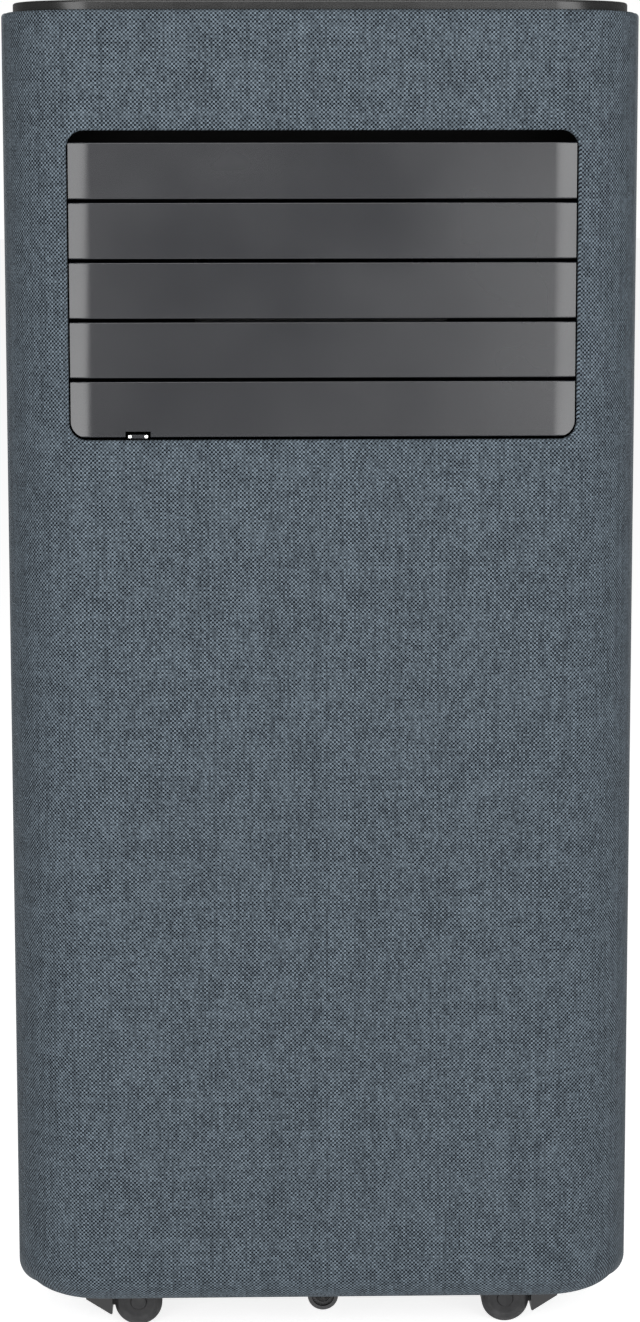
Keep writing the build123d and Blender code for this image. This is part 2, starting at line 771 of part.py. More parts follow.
def make_exhaust_collar():
    """The round socket for the exhaust hose, with a guard at its inner end."""
    inner_end = y_back - collar_depth
    ring = fore(0, inner_end, y_back + collar_reach, collar_height, collar_bore_radius + collar_wall)
    ring += fore(
        0, y_back - wall - 4.0, y_back - wall - fit_gap, collar_height,
        collar_bore_radius + collar_wall + 4.0,
    )
    ring -= fore(0, inner_end + wall, y_back + collar_reach + 1, collar_height, collar_bore_radius)
    low = lower_blower_z + lower_mouth_low + blower_wall
    high = lower_blower_z + lower_scroll + 3 * lower_growth - blower_wall
    half = lower_housing_width / 2 - blower_wall
    hole = block(-half, half, inner_end - 1, inner_end + wall + 1, low, high)
    bars = []
    for index in range(1, 8):
        x = -half + index * 2 * half / 8
        bars.append(block(x - 1.2, x + 1.2, inner_end - 1, inner_end + wall + 1, low, high))
    return ring - (hole - bars)


def make_cord_gland():
    """The strain-relief gland where a mains lead enters the back."""
    x, z = -rear_spout_x, rear_spout_z
    gland = fore(x, y_back - 8, y_back + 5, z, 8.7)
    gland += fore(x, y_back - 8, y_back - wall - fit_gap, z, 11.5)
    gland += fore(x, y_back + fit_gap, y_back + 2.6, z, 11.5)
    return gland - fore(x, y_back - 9, y_back + 6, z, 3.6)


# ---------------------------------------------------------------- inside
def make_deck():
    """The partition between the cold side above and the hot side below."""
    plate = casing(8.0, deck_height, deck_height + deck_thickness)
    plate -= casing(8.0 + 4.0, deck_height - 1, deck_height + 5) & block(
        -x_side + 26, -x_side + 48, 0, 26, deck_height - 1, deck_height + 5
    )
    flange_y = y_back - wall - fit_gap
    reach = x_side - corner_radius
    flange = block(-reach, reach, flange_y - 2.0, flange_y, deck_height, deck_height + 18.0)
    clear = grille_width / 2 + 1.0
    flange -= block(
        -clear, clear, flange_y - 4, flange_y + 1, deck_height + deck_thickness, deck_height + 20
    )
    plate += block(
        -reach, reach, flange_y - 8.0, flange_y, deck_height, deck_height + deck_thickness
    )
    plate += flange
    for x, z in back_screw_places():
        plate -= fore(x, flange_y - 5, flange_y + 1, z, screw_radius)
    return plate


def make_coil(height, z):
    """A finned heat exchanger: fin pack, two end plates and the hairpin bends."""
    width = grille_width - 10.0
    low, high = z - height / 2 + 6, z + height / 2 - 6
    parts = [block(-width / 2 + 2, width / 2 - 2, coil_y, coil_y + coil_thickness, low, high)]
    for side in (-1, 1):
        x0, x1 = sorted((side * (width / 2 - 2), side * width / 2))
        parts.append(block(x0, x1, coil_y - 2, coil_y + coil_thickness + 2, low - 3, high + 3))
    pitch = 26.0
    rows = int((high - low - 10.0) // pitch)
    for row in range(rows):
        bend_z = (low + high) / 2 + (row - (rows - 1) / 2) * pitch
        for side in (-1, 1):
            ring = Torus(7.0, 3.2)
            ring = Pos(side * width / 2, coil_y + coil_thickness / 2, bend_z) * Rot(90, 0, 0) * ring
            half = block(
                *sorted((side * width / 2, side * (width / 2 + 12))),
                coil_y, coil_y + coil_thickness, bend_z - 12, bend_z + 12,
            )
            parts.append(ring & half)
    return Compound(children=parts)


def scroll_face(radius, growth, mouth, low):
    """A blower's snail profile about its shaft: three growing arcs, then a straight mouth."""
    top = radius + 3 * growth
    arcs = CenterArc((0, 0), radius, 0, -90)
    arcs += CenterArc((0, growth), radius + growth, -90, -90)
    arcs += CenterArc((growth, growth), radius + 2 * growth, 180, -90)
    lines = Polyline((growth, top), (mouth, top), (mouth, low), (radius, low), (radius, 0))
    return make_face(arcs + lines)


def make_blower_housing(x_width, radius, growth, y, z, mouth_y, low, eye):
    """A blower scroll with a round eye in each side; its mouth opens towards mouth_y."""
    forward = mouth_y < y
    mouth = abs(mouth_y - y)
    outer = extrude(scroll_face(radius, growth, mouth, low), x_width)
    inner_face = scroll_face(radius - blower_wall, growth, mouth + 1, low + blower_wall)
    inner = Pos(0, 0, blower_wall) * extrude(inner_face, x_width - 2 * blower_wall)
    shell = outer - inner - Pos(0, 0, x_width / 2) * Cylinder(eye, x_width + 2)
    if forward:
        frame = Plane(origin=(x_width / 2, y, z), x_dir=(0, -1, 0), z_dir=(-1, 0, 0))
    else:
        frame = Plane(origin=(-x_width / 2, y, z), x_dir=(0, 1, 0), z_dir=(1, 0, 0))
    return frame.location * shell


def make_blower_wheel(radius, x_width, y, z):
    """A centrifugal wheel on an X shaft: centre disc, end rings, blades and hub."""
    half = x_width / 2
    wheel = across(-1.5, 1.5, y, z, radius) + across(-12, 12, y, z, 9.0)
    for side in (-1, 1):
        x0, x1 = sorted((side * (half - 3), side * half))
        wheel += across(x0, x1, y, z, radius) - across(x0 - 1, x1 + 1, y, z, radius - 12)
    blade = Pos(0, 0, radius - 6) * Rot(28, 0, 0) * Box(x_width, 1.4, 10.0)
    blades = [
        Pos(0, y, z) * Rot(turn * 360 / blade_count, 0, 0) * blade for turn in range(blade_count)
    ]
    wheel += blades
    return wheel - across(-13, 13, y, z, 4.0 + running_gap)


def make_blower_motor(x_width, y, z, radius, length):
    """A fan motor beside its scroll, with the shaft that carries the wheel."""
    start = x_width / 2 + 6.0
    body = across(start, start + length, y, z, radius)
    body = fillet(body.edges().group_by(Axis.X)[-1], 4.0)
    body += across(-14, start + 1, y, z, 4.0)
    return body


def make_compressor():
    """The rotary compressor: a domed shell with its base plate and side accumulator."""
    x, y = compressor_place
    low = z_tray + compressor_foot
    shell = upright(x, y, compressor_radius, low, low + compressor_height)
    shell = fillet(level_edges(shell, False), 20.0)
    plate = upright(x, y, compressor_radius + 14.0, low, low + 3.0)
    plate &= block(
        x - compressor_radius - 14, x + compressor_radius + 14,
        y - compressor_radius - 4, y + compressor_radius + 4, low - 1, low + 4,
    )
    side = compressor_radius + 18.0
    bottle = upright(x + side, y + 12, 15.0, low + 44, low + 150)
    bottle = fillet(level_edges(bottle, False), 7.0)
    bottle = fillet(level_edges(bottle, True), 7.0)
    strap = block(x + 20, x + side, y + 8, y + 16, low + 90, low + 98)
    return shell + plate + strap + bottle


def make_compressor_feet():
    """Three rubber feet under the compressor's base plate."""
    x, y = compressor_place
    reach = compressor_radius + 2.0
    feet = []
    for turn in (180, 45, -45):
        foot_x = x + reach * math.cos(math.radians(turn))
        foot_y = y + reach * math.sin(math.radians(turn))
        feet.append(upright(foot_x, foot_y, 7.0, z_tray, z_tray + compressor_foot))
    return Compound(children=feet)


def tube(points):
    """A bent copper tube through points."""
    path = FilletPolyline(*points, radius=pipe_bend)
    start = Plane(origin=path @ 0, z_dir=path % 0)
    return sweep(start * Circle(pipe_radius), path)


def make_refrigerant_pipes():
    """The suction pipe to the upper coil and the discharge pipe to the lower coil."""
    x, y = compressor_place
    top = z_tray + compressor_foot + compressor_height
    lane = -x_side + 37.0
    coil_side = -(grille_width / 2 - 5.0)
    rise = top + 26.0
    upper = upper_grille_z - upper_grille_height / 2 + 13.0
    suction = tube([
        (x + 12, y, top), (x + 12, y, rise), (lane, y, rise), (lane, 13, rise),
        (lane, 13, upper), (lane, coil_y + 15, upper), (coil_side - 1, coil_y + 15, upper),
    ])
    low_rise = top + 44.0
    lower = lower_grille_z + lower_grille_height / 2 - 16.0
    discharge = tube([
        (x - 12, y, top), (x - 12, y, low_rise), (lane, y - 34, low_rise),
        (lane - 8, 60, low_rise), (lane - 8, coil_y + 8, lower), (coil_side - 1, coil_y + 8, lower),
    ])
    return Compound(children=[suction, discharge])


def make_control_box():
    """The electrical box beside the compressor."""
    box = block(52, 124, y_front + 34, y_front + 104, z_tray + 26, z_tray + 186)
    return fillet(box.edges() | Axis.Z, 4.0)


# ---------------------------------------------------------------- fasteners
def make_housing_screws():
    """The screws in the back wall and under the bottom lip, all alike."""
    screws = []
    for x, z in back_screw_places():
        screws.append(
            fore(x, y_back - screw_head_height, y_back, z, screw_head_radius)
            + fore(x, y_back - 10, y_back - 1, z, screw_radius)
        )
    for x, y in lip_screw_places():
        screws.append(
            upright(x, y, screw_head_radius, z_bottom, z_bottom + screw_head_height - 0.2)
            + upright(x, y, screw_radius, z_bottom + 1, z_tray + 3)
        )
    return Compound(children=screws)


# ---------------------------------------------------------------- all nodes
def make_nodes():
    """Every node of the model by its name."""
    nodes = {
        "front_cover": make_front_cover(),
        "front_fabric": make_front_fabric(),
        "rear_housing": make_rear_housing(),
        "top_trim": make_top_trim(),
        "side_handles": make_side_handles(),
        "base_pan": make_base_pan(),
        "front_drain_plug": make_front_drain_plug(),
        "rear_drain_plug": make_rear_drain_plug(),
        "outlet_frame": make_outlet_frame(),
        "louver_link": make_link_bar(),
        "louver_motor": make_louver_motor(),
        "drive_crank": make_drive_crank(),
        "louver_catch": make_louver_catch(),
        "control_panel": make_control_panel(),
        "display_window": make_display_window(),
        "control_board": make_control_board(),
        "upper_grille": make_grille(upper_grille_height, upper_grille_z),
        "upper_filter": make_filter(upper_grille_height, upper_grille_z),
        "lower_grille": make_grille(lower_grille_height, lower_grille_z),
        "lower_filter": make_filter(lower_grille_height, lower_grille_z),
        "exhaust_collar": make_exhaust_collar(),
        "cord_gland": make_cord_gland(),
        "deck": make_deck(),
        "evaporator_coil": make_coil(upper_grille_height, upper_grille_z),
        "condenser_coil": make_coil(lower_grille_height, lower_grille_z),
        "upper_blower_housing": make_blower_housing(
            upper_housing_width, upper_scroll, upper_growth, upper_blower_y, upper_blower_z,
            frame_back + 0.5, 14.0, upper_wheel_radius - 8.0,
        ),
        "upper_blower_wheel": make_blower_wheel(
            upper_wheel_radius, upper_wheel_width, upper_blower_y, upper_blower_z
        ),
        "upper_blower_motor": make_blower_motor(
            upper_housing_width, upper_blower_y, upper_blower_z, 36.0, 46.0
        ),
        "lower_blower_housing": make_blower_housing(
            lower_housing_width, lower_scroll, lower_growth, lower_blower_y, lower_blower_z,
            y_back - collar_depth - 0.5, lower_mouth_low, lower_wheel_radius - 8.0,
        ),
        "lower_blower_wheel": make_blower_wheel(
            lower_wheel_radius, lower_wheel_width, lower_blower_y, lower_blower_z
        ),
        "lower_blower_motor": make_blower_motor(
            lower_housing_width, lower_blower_y, lower_blower_z, 32.0, 40.0
        ),
        "compressor": make_compressor(),
        "compressor_feet": make_compressor_feet(),
        "refrigerant_pipes": make_refrigerant_pipes(),
        "control_box": make_control_box(),
        "housing_screws": make_housing_screws(),
    }
    for index in range(louver_count):
        nodes[f"louver_{index + 1}"] = make_louver(index)
        nodes[f"louver_crank_{index + 1}"] = make_crank(
            pivot_y, pivot_heights[index], pivot_radius
        )
    for index, name in enumerate(button_names):
        nodes[f"button_{name}"] = make_button(index)
    for name, place in caster_places.items():
        nodes[f"caster_yoke_{name}"] = placed(make_caster_yoke(), place)
        nodes[f"caster_wheels_{name}"] = placed(make_caster_wheels(), place)
    return nodes


def main():
    os.makedirs("parts", exist_ok=True)
    for name, shape in make_nodes().items():
        export_step(shape, f"parts/{name}.step")


if __name__ == "__main__":
    main()
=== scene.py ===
import json
import math

import bmesh
import bpy
from bpy.props import FloatProperty, FloatVectorProperty, PointerProperty
from bpy.types import Operator, Panel, PropertyGroup
from mathutils import Matrix, Vector

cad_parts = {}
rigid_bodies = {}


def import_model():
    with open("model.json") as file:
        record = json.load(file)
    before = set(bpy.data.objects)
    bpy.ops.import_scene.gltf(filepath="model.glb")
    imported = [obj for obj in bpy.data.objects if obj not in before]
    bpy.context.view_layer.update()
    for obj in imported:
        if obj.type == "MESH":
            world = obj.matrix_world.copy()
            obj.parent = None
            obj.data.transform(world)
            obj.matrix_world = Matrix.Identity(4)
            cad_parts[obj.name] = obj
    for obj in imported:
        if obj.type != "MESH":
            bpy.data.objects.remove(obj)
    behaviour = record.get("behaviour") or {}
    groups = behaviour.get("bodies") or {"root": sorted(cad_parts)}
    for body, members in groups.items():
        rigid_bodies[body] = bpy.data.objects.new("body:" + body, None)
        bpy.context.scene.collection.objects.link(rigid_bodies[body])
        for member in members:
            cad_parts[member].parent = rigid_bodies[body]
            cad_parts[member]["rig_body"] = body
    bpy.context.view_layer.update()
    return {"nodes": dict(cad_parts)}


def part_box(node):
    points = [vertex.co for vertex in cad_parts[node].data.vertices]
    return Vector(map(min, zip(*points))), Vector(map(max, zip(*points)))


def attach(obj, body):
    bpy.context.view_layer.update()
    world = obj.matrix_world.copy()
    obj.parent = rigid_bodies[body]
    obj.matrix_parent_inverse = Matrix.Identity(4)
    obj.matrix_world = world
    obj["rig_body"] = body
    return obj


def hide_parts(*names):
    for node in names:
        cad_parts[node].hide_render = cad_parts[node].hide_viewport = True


bl_info = {
    "name": "Portable Air Conditioner",
    "version": (1, 0, 0),
    "blender": (4, 5, 0),
    "location": "View3D > Sidebar > Air Conditioner",
    "description": "Fabric cover, housing, louvers, controls and casters of a portable air conditioner",
    "category": "Object",
}

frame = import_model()
cabinet = "cabinet"

fabric_low, fabric_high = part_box("front_fabric")
housing_low, housing_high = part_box("rear_housing")


# ---------------------------------------------------------------- sizes and colours
def length(name, description, default):
    """A length in metres."""
    return FloatProperty(
        name=name, description=description, default=default, subtype="DISTANCE", unit="LENGTH"
    )


def angle_of(name, description, degrees):
    """An angle, given in degrees."""
    return FloatProperty(
        name=name, description=description, default=math.radians(degrees), subtype="ANGLE"
    )


def factor(name, description, default, top=1.0):
    """A plain number from nought to top."""
    return FloatProperty(name=name, description=description, default=default, min=0.0, max=top)


def colour(name, description, default):
    """A linear colour."""
    return FloatVectorProperty(
        name=name, description=description, default=default, size=3, min=0.0, max=1.0, subtype="COLOR"
    )


class FabricSettings(PropertyGroup):
    """The woven cover over the front and its corners"""

    corner_radius: length("Corner radius", "Plan radius of the cover's upright corners", 0.0458)
    bottom_radius: length("Bottom radius", "Radius of the roll under the cover's bottom edge", 0.019)
    rim_radius: length("Rim radius", "Radius of the roll at the top edge", 0.0022)
    lip: length("Bottom lip", "How far the fabric is turned in under the cabinet", 0.030)
    flange: length("Top flange", "How far the fabric is turned in on top", 0.016)
    thickness: length("Thickness", "Thickness of the cloth", 0.0008)
    outlet_width: length("Outlet width", "Width of the air outlet", 0.2606)
    outlet_height: length("Outlet height", "Height of the air outlet", 0.1571)
    outlet_drop: length("Outlet drop", "From the top edge down to the outlet", 0.0602)
    outlet_corner: length("Outlet corner", "Radius of the outlet's corners", 0.009)
    turn_in: length("Turn-in", "How deep the fabric is turned into the outlet", 0.0032)
    fold: length("Fold radius", "Radius of the fold at the outlet's edge", 0.0010)
    thread: length("Thread pitch", "From one thread to the next", 0.00105)
    light_yarn: colour("Light yarn", "Colour of the lighter yarn", (0.097, 0.121, 0.142))
    dark_yarn: colour("Dark yarn", "Colour of the darker yarn", (0.002, 0.003, 0.005))


class HousingSettings(PropertyGroup):
    """The sides and back of the cabinet"""

    corner_radius: length("Corner radius", "Plan radius of the housing's upright corners", 0.047)
    bottom_radius: length("Bottom radius", "Radius of the bottom edge", 0.014)
    rim_radius: length("Rim radius", "Radius of the top edge", 0.0022)
    wall: length("Wall", "Wall thickness", 0.003)
    lip: length("Bottom lip", "Width of the turned-in bottom lip", 0.030)
    flange: length("Top flange", "Width of the turned-in top flange", 0.016)
    clearance: length("Clearance", "Gap round a part that sits in a hole", 0.0004)
    seam: length("Seam", "Width of the seams between the side and back mouldings", 0.0006)
    seam_from_corner: length("Seam place", "From the back corner's start forward to the seam", 0.006)
    plastic: colour("Plastic", "Colour of the housing's plastic", (0.036, 0.046, 0.055))


class LouverSettings(PropertyGroup):
    """The louvers and their catch"""

    plastic: colour("Plastic", "Colour of the louvers' plastic", (0.0040, 0.0045, 0.0065))
    roughness: factor("Roughness", "How soft the louvers' sheen is", 0.24)
    pin: length("Pin radius", "Radius of the two steel pins in the catch", 0.0009)


class StageSettings(PropertyGroup):
    """Floor, lights and camera"""

    distance: length("Distance", "Camera to the front of the cabinet", 1.716)
    height: length("Height", "Camera above the floor", 0.626)
    side: length("Side", "Camera to the right of the middle", -0.043)
    tilt: angle_of("Tilt", "Camera tilt below level", 8.32)
    turn: angle_of("Turn", "Camera turn to the left", -1.385)
    roll: angle_of("Roll", "Camera roll", 0.08)
    lens: FloatProperty(name="Lens", description="Focal length in millimetres", default=91.14)
    floor: colour("Floor", "Colour of the floor", (0.60, 0.60, 0.60))
    sky: factor("Sky", "Strength of the even light all round", 0.20, 10.0)
    backdrop: factor("Backdrop", "How bright the empty background looks", 1.0, 10.0)
    left: factor("Left light", "Power of the left light in watts", 49.0, 2000.0)
    right: factor("Right light", "Power of the right light in watts", 59.0, 2000.0)
    top: factor("Top light", "Power of the top light in watts", 70.0, 2000.0)
    glow: factor("Floor glow", "Light that the floor gives off by itself", 0.80, 5.0)


# ---------------------------------------------------------------- materials
class Shade:
    """A new material with its shader, and short ways to add nodes to it."""

    def __init__(self, name, base, roughness, metallic=0.0, coat=0.0, specular=0.5):
        self.material = bpy.data.materials.new(name)
        self.material.use_nodes = True
        self.tree = self.material.node_tree
        self.shader = self.tree.nodes["Principled BSDF"]
        for socket, value in (
            ("Base Color", (*base, 1.0)), ("Roughness", roughness), ("Metallic", metallic),
            ("Coat Weight", coat), ("Specular IOR Level", specular),
        ):
            self.shader.inputs[socket].default_value = value
        self.material.diffuse_color = (*base, 1.0)

    def node(self, kind, **values):
        """A new node, with properties and unlinked inputs set by name."""
        made = self.tree.nodes.new(kind)
        for key, value in values.items():
            if hasattr(made, key):
                setattr(made, key, value)
            else:
                made.inputs[key.replace("_", " ").title()].default_value = value
        return made

    def link(self, output, target):
        """Joins an output to an input."""
        self.tree.links.new(output, target)

    def drive(self, value, socket="Base Color"):
        """Lets a texture set one of the shader's sockets."""
        self.link(value, self.shader.inputs[socket])

    def place(self, scale=(1.0, 1.0, 1.0), uv=False):
        """Object coordinates, or the piece's own UV map, through a mapping."""
        mapping = self.node("ShaderNodeMapping")
        mapping.inputs["Scale"].default_value = scale
        if uv:
            self.link(self.node("ShaderNodeUVMap", uv_map="cloth").outputs["UV"], mapping.inputs["Vector"])
        else:
            source = self.node("ShaderNodeTexCoord")
            self.link(source.outputs["Object"], mapping.inputs["Vector"])
        return mapping.outputs["Vector"]

    def noise(self, vector, scale, detail=2.0, roughness=0.5):
        """A noise value from 0 to 1."""
        made = self.node("ShaderNodeTexNoise", scale=scale, detail=detail, roughness=roughness)
        self.link(vector, made.inputs["Vector"])
        return made.outputs["Fac"]

    def maths(self, operation, a, b=None, c=None):
        """One sum on values or sockets."""
        made = self.node("ShaderNodeMath", operation=operation)
        for index, value in enumerate((a, b, c)):
            if value is None:
                continue
            if isinstance(value, (int, float)):
                made.inputs[index].default_value = value
            else:
                self.link(value, made.inputs[index])
        return made.outputs["Value"]

    def mix(self, fac, a, b, blend="MIX"):
        """A colour between two colours or sockets."""
        made = self.node("ShaderNodeMix", data_type="RGBA", blend_type=blend)
        for socket, value in ((made.inputs[0], fac), (made.inputs[6], a), (made.inputs[7], b)):
            if isinstance(value, (int, float)):
                socket.default_value = value
            elif isinstance(value, tuple):
                socket.default_value = (*value, 1.0)
            else:
                self.link(value, socket)
        return made.outputs[2]

    def ripple(self, value, step):
        """Round humps along a value, one for each step."""
        turns = self.maths("MULTIPLY", value, math.pi / step)
        return self.maths("ABSOLUTE", self.maths("SINE", turns))

    def spread(self, value, low, high, to_low, to_high):
        """A value moved from one range to another."""
        made = self.node("ShaderNodeMapRange")
        self.link(value, made.inputs["Value"])
        for name, number in zip(("From Min", "From Max", "To Min", "To Max"), (low, high, to_low, to_high)):
            made.inputs[name].default_value = number
        return made.outputs["Result"]

    def bump(self, height, strength, distance, after=None):
        """A bump on the shader's normal."""
        made = self.node("ShaderNodeBump")
        made.inputs["Strength"].default_value = strength
        made.inputs["Distance"].default_value = distance
        self.link(height, made.inputs["Height"])
        if after is not None:
            self.link(after, made.inputs["Normal"])
        self.link(made.outputs["Normal"], self.shader.inputs["Normal"])
        return made.outputs["Normal"]


def moulded(name, base, roughness, grain=900.0, depth=0.00004, vary=0.12, **rest):
    """Moulded plastic: a fine etched grain, a slow change of tone and slightly uneven sheen."""
    shade = Shade(name, base, roughness, **rest)
    where = shade.place()
    fine = shade.noise(where, grain, 3.0, 0.6)
    slow = shade.noise(where, 9.0, 3.0)
    darker = tuple(value * (1.0 - vary) for value in base)
    lighter = tuple(min(1.0, value * (1.0 + vary)) for value in base)
    tone = shade.mix(slow, darker, lighter)
    speck = shade.spread(fine, 0.3, 0.7, 0.0, 1.0)
    tone = shade.mix(speck, tone, lighter)
    shade.drive(tone)
    shade.drive(shade.spread(slow, 0.3, 0.7, roughness - 0.05, roughness + 0.05), "Roughness")
    shade.bump(fine, 0.6, depth)
    return shade.material


def polished(name, base, roughness, **rest):
    """Gloss plastic with faint wipe marks in its sheen."""
    shade = Shade(name, base, roughness, **rest)
    where = shade.place((1.0, 3.0, 1.0))
    smear = shade.noise(where, 26.0, 5.0, 0.65)
    shade.drive(shade.spread(smear, 0.35, 0.75, roughness, roughness + 0.10), "Roughness")
    tone = shade.mix(smear, base, tuple(min(1.0, value * 1.35 + 0.002) for value in base))
    shade.drive(tone)
    shade.bump(shade.noise(where, 7.0), 0.08, 0.0002)
    return shade.material


def rolled_metal(name, base, roughness, scale=(30.0, 30.0, 900.0)):
    """Drawn or rolled metal with fine lines along one direction."""
    shade = Shade(name, base, roughness, metallic=1.0)
    where = shade.place(scale)
    lines = shade.noise(where, 3.0, 4.0, 0.7)
    shade.drive(shade.mix(lines, tuple(v * 0.82 for v in base), base))
    shade.drive(shade.spread(lines, 0.3, 0.7, roughness - 0.08, roughness + 0.12), "Roughness")
    shade.bump(lines, 0.3, 0.00005)
    return shade.material


def rubber(name, base, roughness=0.75):
    """Matte rubber with dust-like tone changes."""
    shade = Shade(name, base, roughness, specular=0.3)
    where = shade.place()
    dust = shade.noise(where, 160.0, 6.0, 0.7)
    shade.drive(shade.mix(shade.spread(dust, 0.4, 0.8, 0.0, 1.0), base, tuple(v + 0.02 for v in base)))
    shade.bump(dust, 0.4, 0.0001)
    return shade.material


def striped(name, base, gap, pitch, axis, roughness, metallic):
    """Thin plates side by side along one axis, with painted shade in the gaps between them."""
    shade = Shade(name, base, roughness, metallic=metallic)
    split = shade.node("ShaderNodeSeparateXYZ")
    shade.link(shade.place(), split.inputs["Vector"])
    turns = shade.maths("MULTIPLY", split.outputs[axis], 2 * math.pi / pitch)
    wave = shade.maths("MULTIPLY_ADD", shade.maths("SINE", turns), 0.5, 0.5)
    plate = shade.spread(wave, 0.35, 0.6, 0.0, 1.0)
    # the gap colour is painted shade for the dark spaces between the fins
    shade.drive(shade.mix(plate, gap, base))
    shade.bump(wave, 0.8, 0.0005)
    return shade.material


def netted(name, base, gap, pitch):
    """A fine net: threads both ways, with painted shade in the holes between them."""
    shade = Shade(name, base, 0.6)
    split = shade.node("ShaderNodeSeparateXYZ")
    shade.link(shade.place(), split.inputs["Vector"])
    waves = [shade.ripple(split.outputs[axis], pitch) for axis in ("X", "Z")]
    hole = shade.spread(shade.maths("MULTIPLY", waves[0], waves[1]), 0.35, 0.55, 0.0, 1.0)
    # the gap colour in the holes is painted shade for the dark inside seen through the net
    shade.drive(shade.mix(hole, base, gap))
    shade.bump(hole, -0.8, 0.0003)
    return shade.material


def woven(settings):
    """Plain weave of two yarns: each thread has its own tone, and each yarn changes along its length."""
    shade = Shade("woven_fabric", settings.dark_yarn[:], 0.9, specular=0.12)
    shade.shader.inputs["Sheen Weight"].default_value = 0.02
    shade.shader.inputs["Sheen Roughness"].default_value = 0.45
    shade.shader.inputs["Sheen Tint"].default_value = (0.75, 0.85, 0.95, 1.0)
    threads = shade.place((1.0 / settings.thread, 1.0 / settings.thread, 1.0), uv=True)
    metres = shade.place(uv=True)
    split = shade.node("ShaderNodeSeparateXYZ")
    shade.link(threads, split.inputs["Vector"])
    across, along = split.outputs["X"], split.outputs["Y"]
    column, row = shade.maths("FLOOR", across), shade.maths("FLOOR", along)
    over = shade.maths("PINGPONG", shade.maths("ADD", column, row), 1.0)
    warp_round, weft_round = shade.ripple(across, 1.0), shade.ripple(along, 1.0)

    def yarn(index, other, seed):
        """A yarn's tone: one part for the whole thread, one along it, and one for each crossing."""
        whole = shade.node("ShaderNodeTexWhiteNoise", noise_dimensions="1D")
        shade.link(shade.maths("ADD", index, seed), whole.inputs["W"])
        cell = shade.node("ShaderNodeTexWhiteNoise", noise_dimensions="2D")
        join = shade.node("ShaderNodeCombineXYZ")
        shade.link(shade.maths("ADD", index, seed), join.inputs["X"])
        shade.link(shade.maths("FLOOR", shade.maths("MULTIPLY", other, 0.34)), join.inputs["Y"])
        shade.link(join.outputs["Vector"], cell.inputs["Vector"])
        half = shade.maths("MULTIPLY", whole.outputs["Value"], 0.3)
        return shade.maths("ADD", half, shade.maths("MULTIPLY", cell.outputs["Value"], 0.7))

    warp = shade.maths("MULTIPLY_ADD", yarn(column, row, 3.0), 0.60, 0.46)
    weft = shade.maths("MULTIPLY_ADD", yarn(row, column, 57.0), 0.40, -0.14)
    tone = shade.mix(over, shade.mix(warp, (0, 0, 0), (1, 1, 1)), shade.mix(weft, (0, 0, 0), (1, 1, 1)))
    cloud = shade.noise(metres, 60.0, 3.0, 0.6)
    tone = shade.maths("ADD", tone, shade.maths("MULTIPLY_ADD", cloud, 0.30, -0.15))
    shade.drive(shade.mix(tone, settings.dark_yarn[:], settings.light_yarn[:]))
    crown = shade.node("ShaderNodeMix", data_type="FLOAT")
    shade.link(over, crown.inputs[0])
    shade.link(warp_round, crown.inputs[2])
    shade.link(weft_round, crown.inputs[3])
    fuzz = shade.noise(threads, 2.4, 2.0, 0.7)
    shade.bump(shade.maths("MULTIPLY_ADD", fuzz, 0.35, crown.outputs[0]), 0.7, 0.00018)
    return shade.material


def finishes():
    """Every finish but the fabric's, by name, made once."""
    if not made_finishes:
        scene = bpy.context.scene
        louver, housing = scene.ac_louver, scene.ac_housing
        made_finishes.update({
            "housing": moulded("housing_plastic", housing.plastic[:], 0.52, 1400.0),
            "carrier": moulded("carrier_plastic", (0.012, 0.013, 0.015), 0.6),
            "louver": moulded(
                "louver_plastic", louver.plastic[:], louver.roughness, 1600.0, 0.000012, 0.06
            ),
            "gloss": polished("gloss_black", (0.008, 0.008, 0.009), 0.10, coat=0.4),
            "rim": polished("rim_black", (0.008, 0.008, 0.008), 0.22, specular=0.35),
            "window": polished("smoked_window", (0.004, 0.004, 0.005), 0.05, coat=1.0),
            "key": moulded("key_plastic", (0.020, 0.020, 0.022), 0.34, 1500.0, 0.00001),
            "print": moulded("printed_mark", (0.62, 0.63, 0.64), 0.5, 1800.0, 0.000005),
            "grip": moulded("grip_plastic", (0.030, 0.038, 0.045), 0.55, 1100.0),
            "grille": moulded("grille_plastic", tuple(v * 0.92 for v in housing.plastic), 0.50, 1400.0),
            # duct: real black plastic, made darker still as painted shade for the dark inside of the outlet
            # around the louvers
            "duct": moulded("duct_plastic", (0.003, 0.003, 0.003), 0.8, 900.0, specular=0.12),
            "black": moulded("black_plastic", (0.010, 0.010, 0.011), 0.48, 1000.0),
            "caster": moulded("caster_plastic", (0.009, 0.009, 0.010), 0.40, 1000.0, 0.00002),
            "tread": rubber("wheel_tread", (0.010, 0.010, 0.011), 0.5),
            "rubber": rubber("black_rubber", (0.014, 0.014, 0.014)),
            "nylon": moulded("white_nylon", (0.62, 0.61, 0.58), 0.45, 700.0, 0.00002),
            "steel": rolled_metal("drawn_steel", (0.55, 0.55, 0.56), 0.32),
            "pin": rolled_metal("bright_pin", (0.80, 0.80, 0.80), 0.18),
            "zinc": rolled_metal("zinc_screw", (0.60, 0.61, 0.62), 0.30, (200.0, 200.0, 200.0)),
            "copper": rolled_metal("drawn_copper", (0.72, 0.34, 0.20), 0.28, (60.0, 60.0, 60.0)),
            # coil fins and filter net: the dark second colours are painted shade in the gaps and holes
            "fins": striped("coil_fins", (0.70, 0.71, 0.72), (0.05, 0.05, 0.05), 0.0016, "X", 0.35, 0.8),
            "net": netted("filter_net", (0.06, 0.06, 0.065), (0.006, 0.006, 0.006), 0.0011),
            "board": moulded("board_laminate", (0.010, 0.090, 0.045), 0.35, 600.0),
            "enamel": polished("compressor_enamel", (0.010, 0.010, 0.011), 0.25, coat=0.3),
        })
    return made_finishes


made_finishes = {}


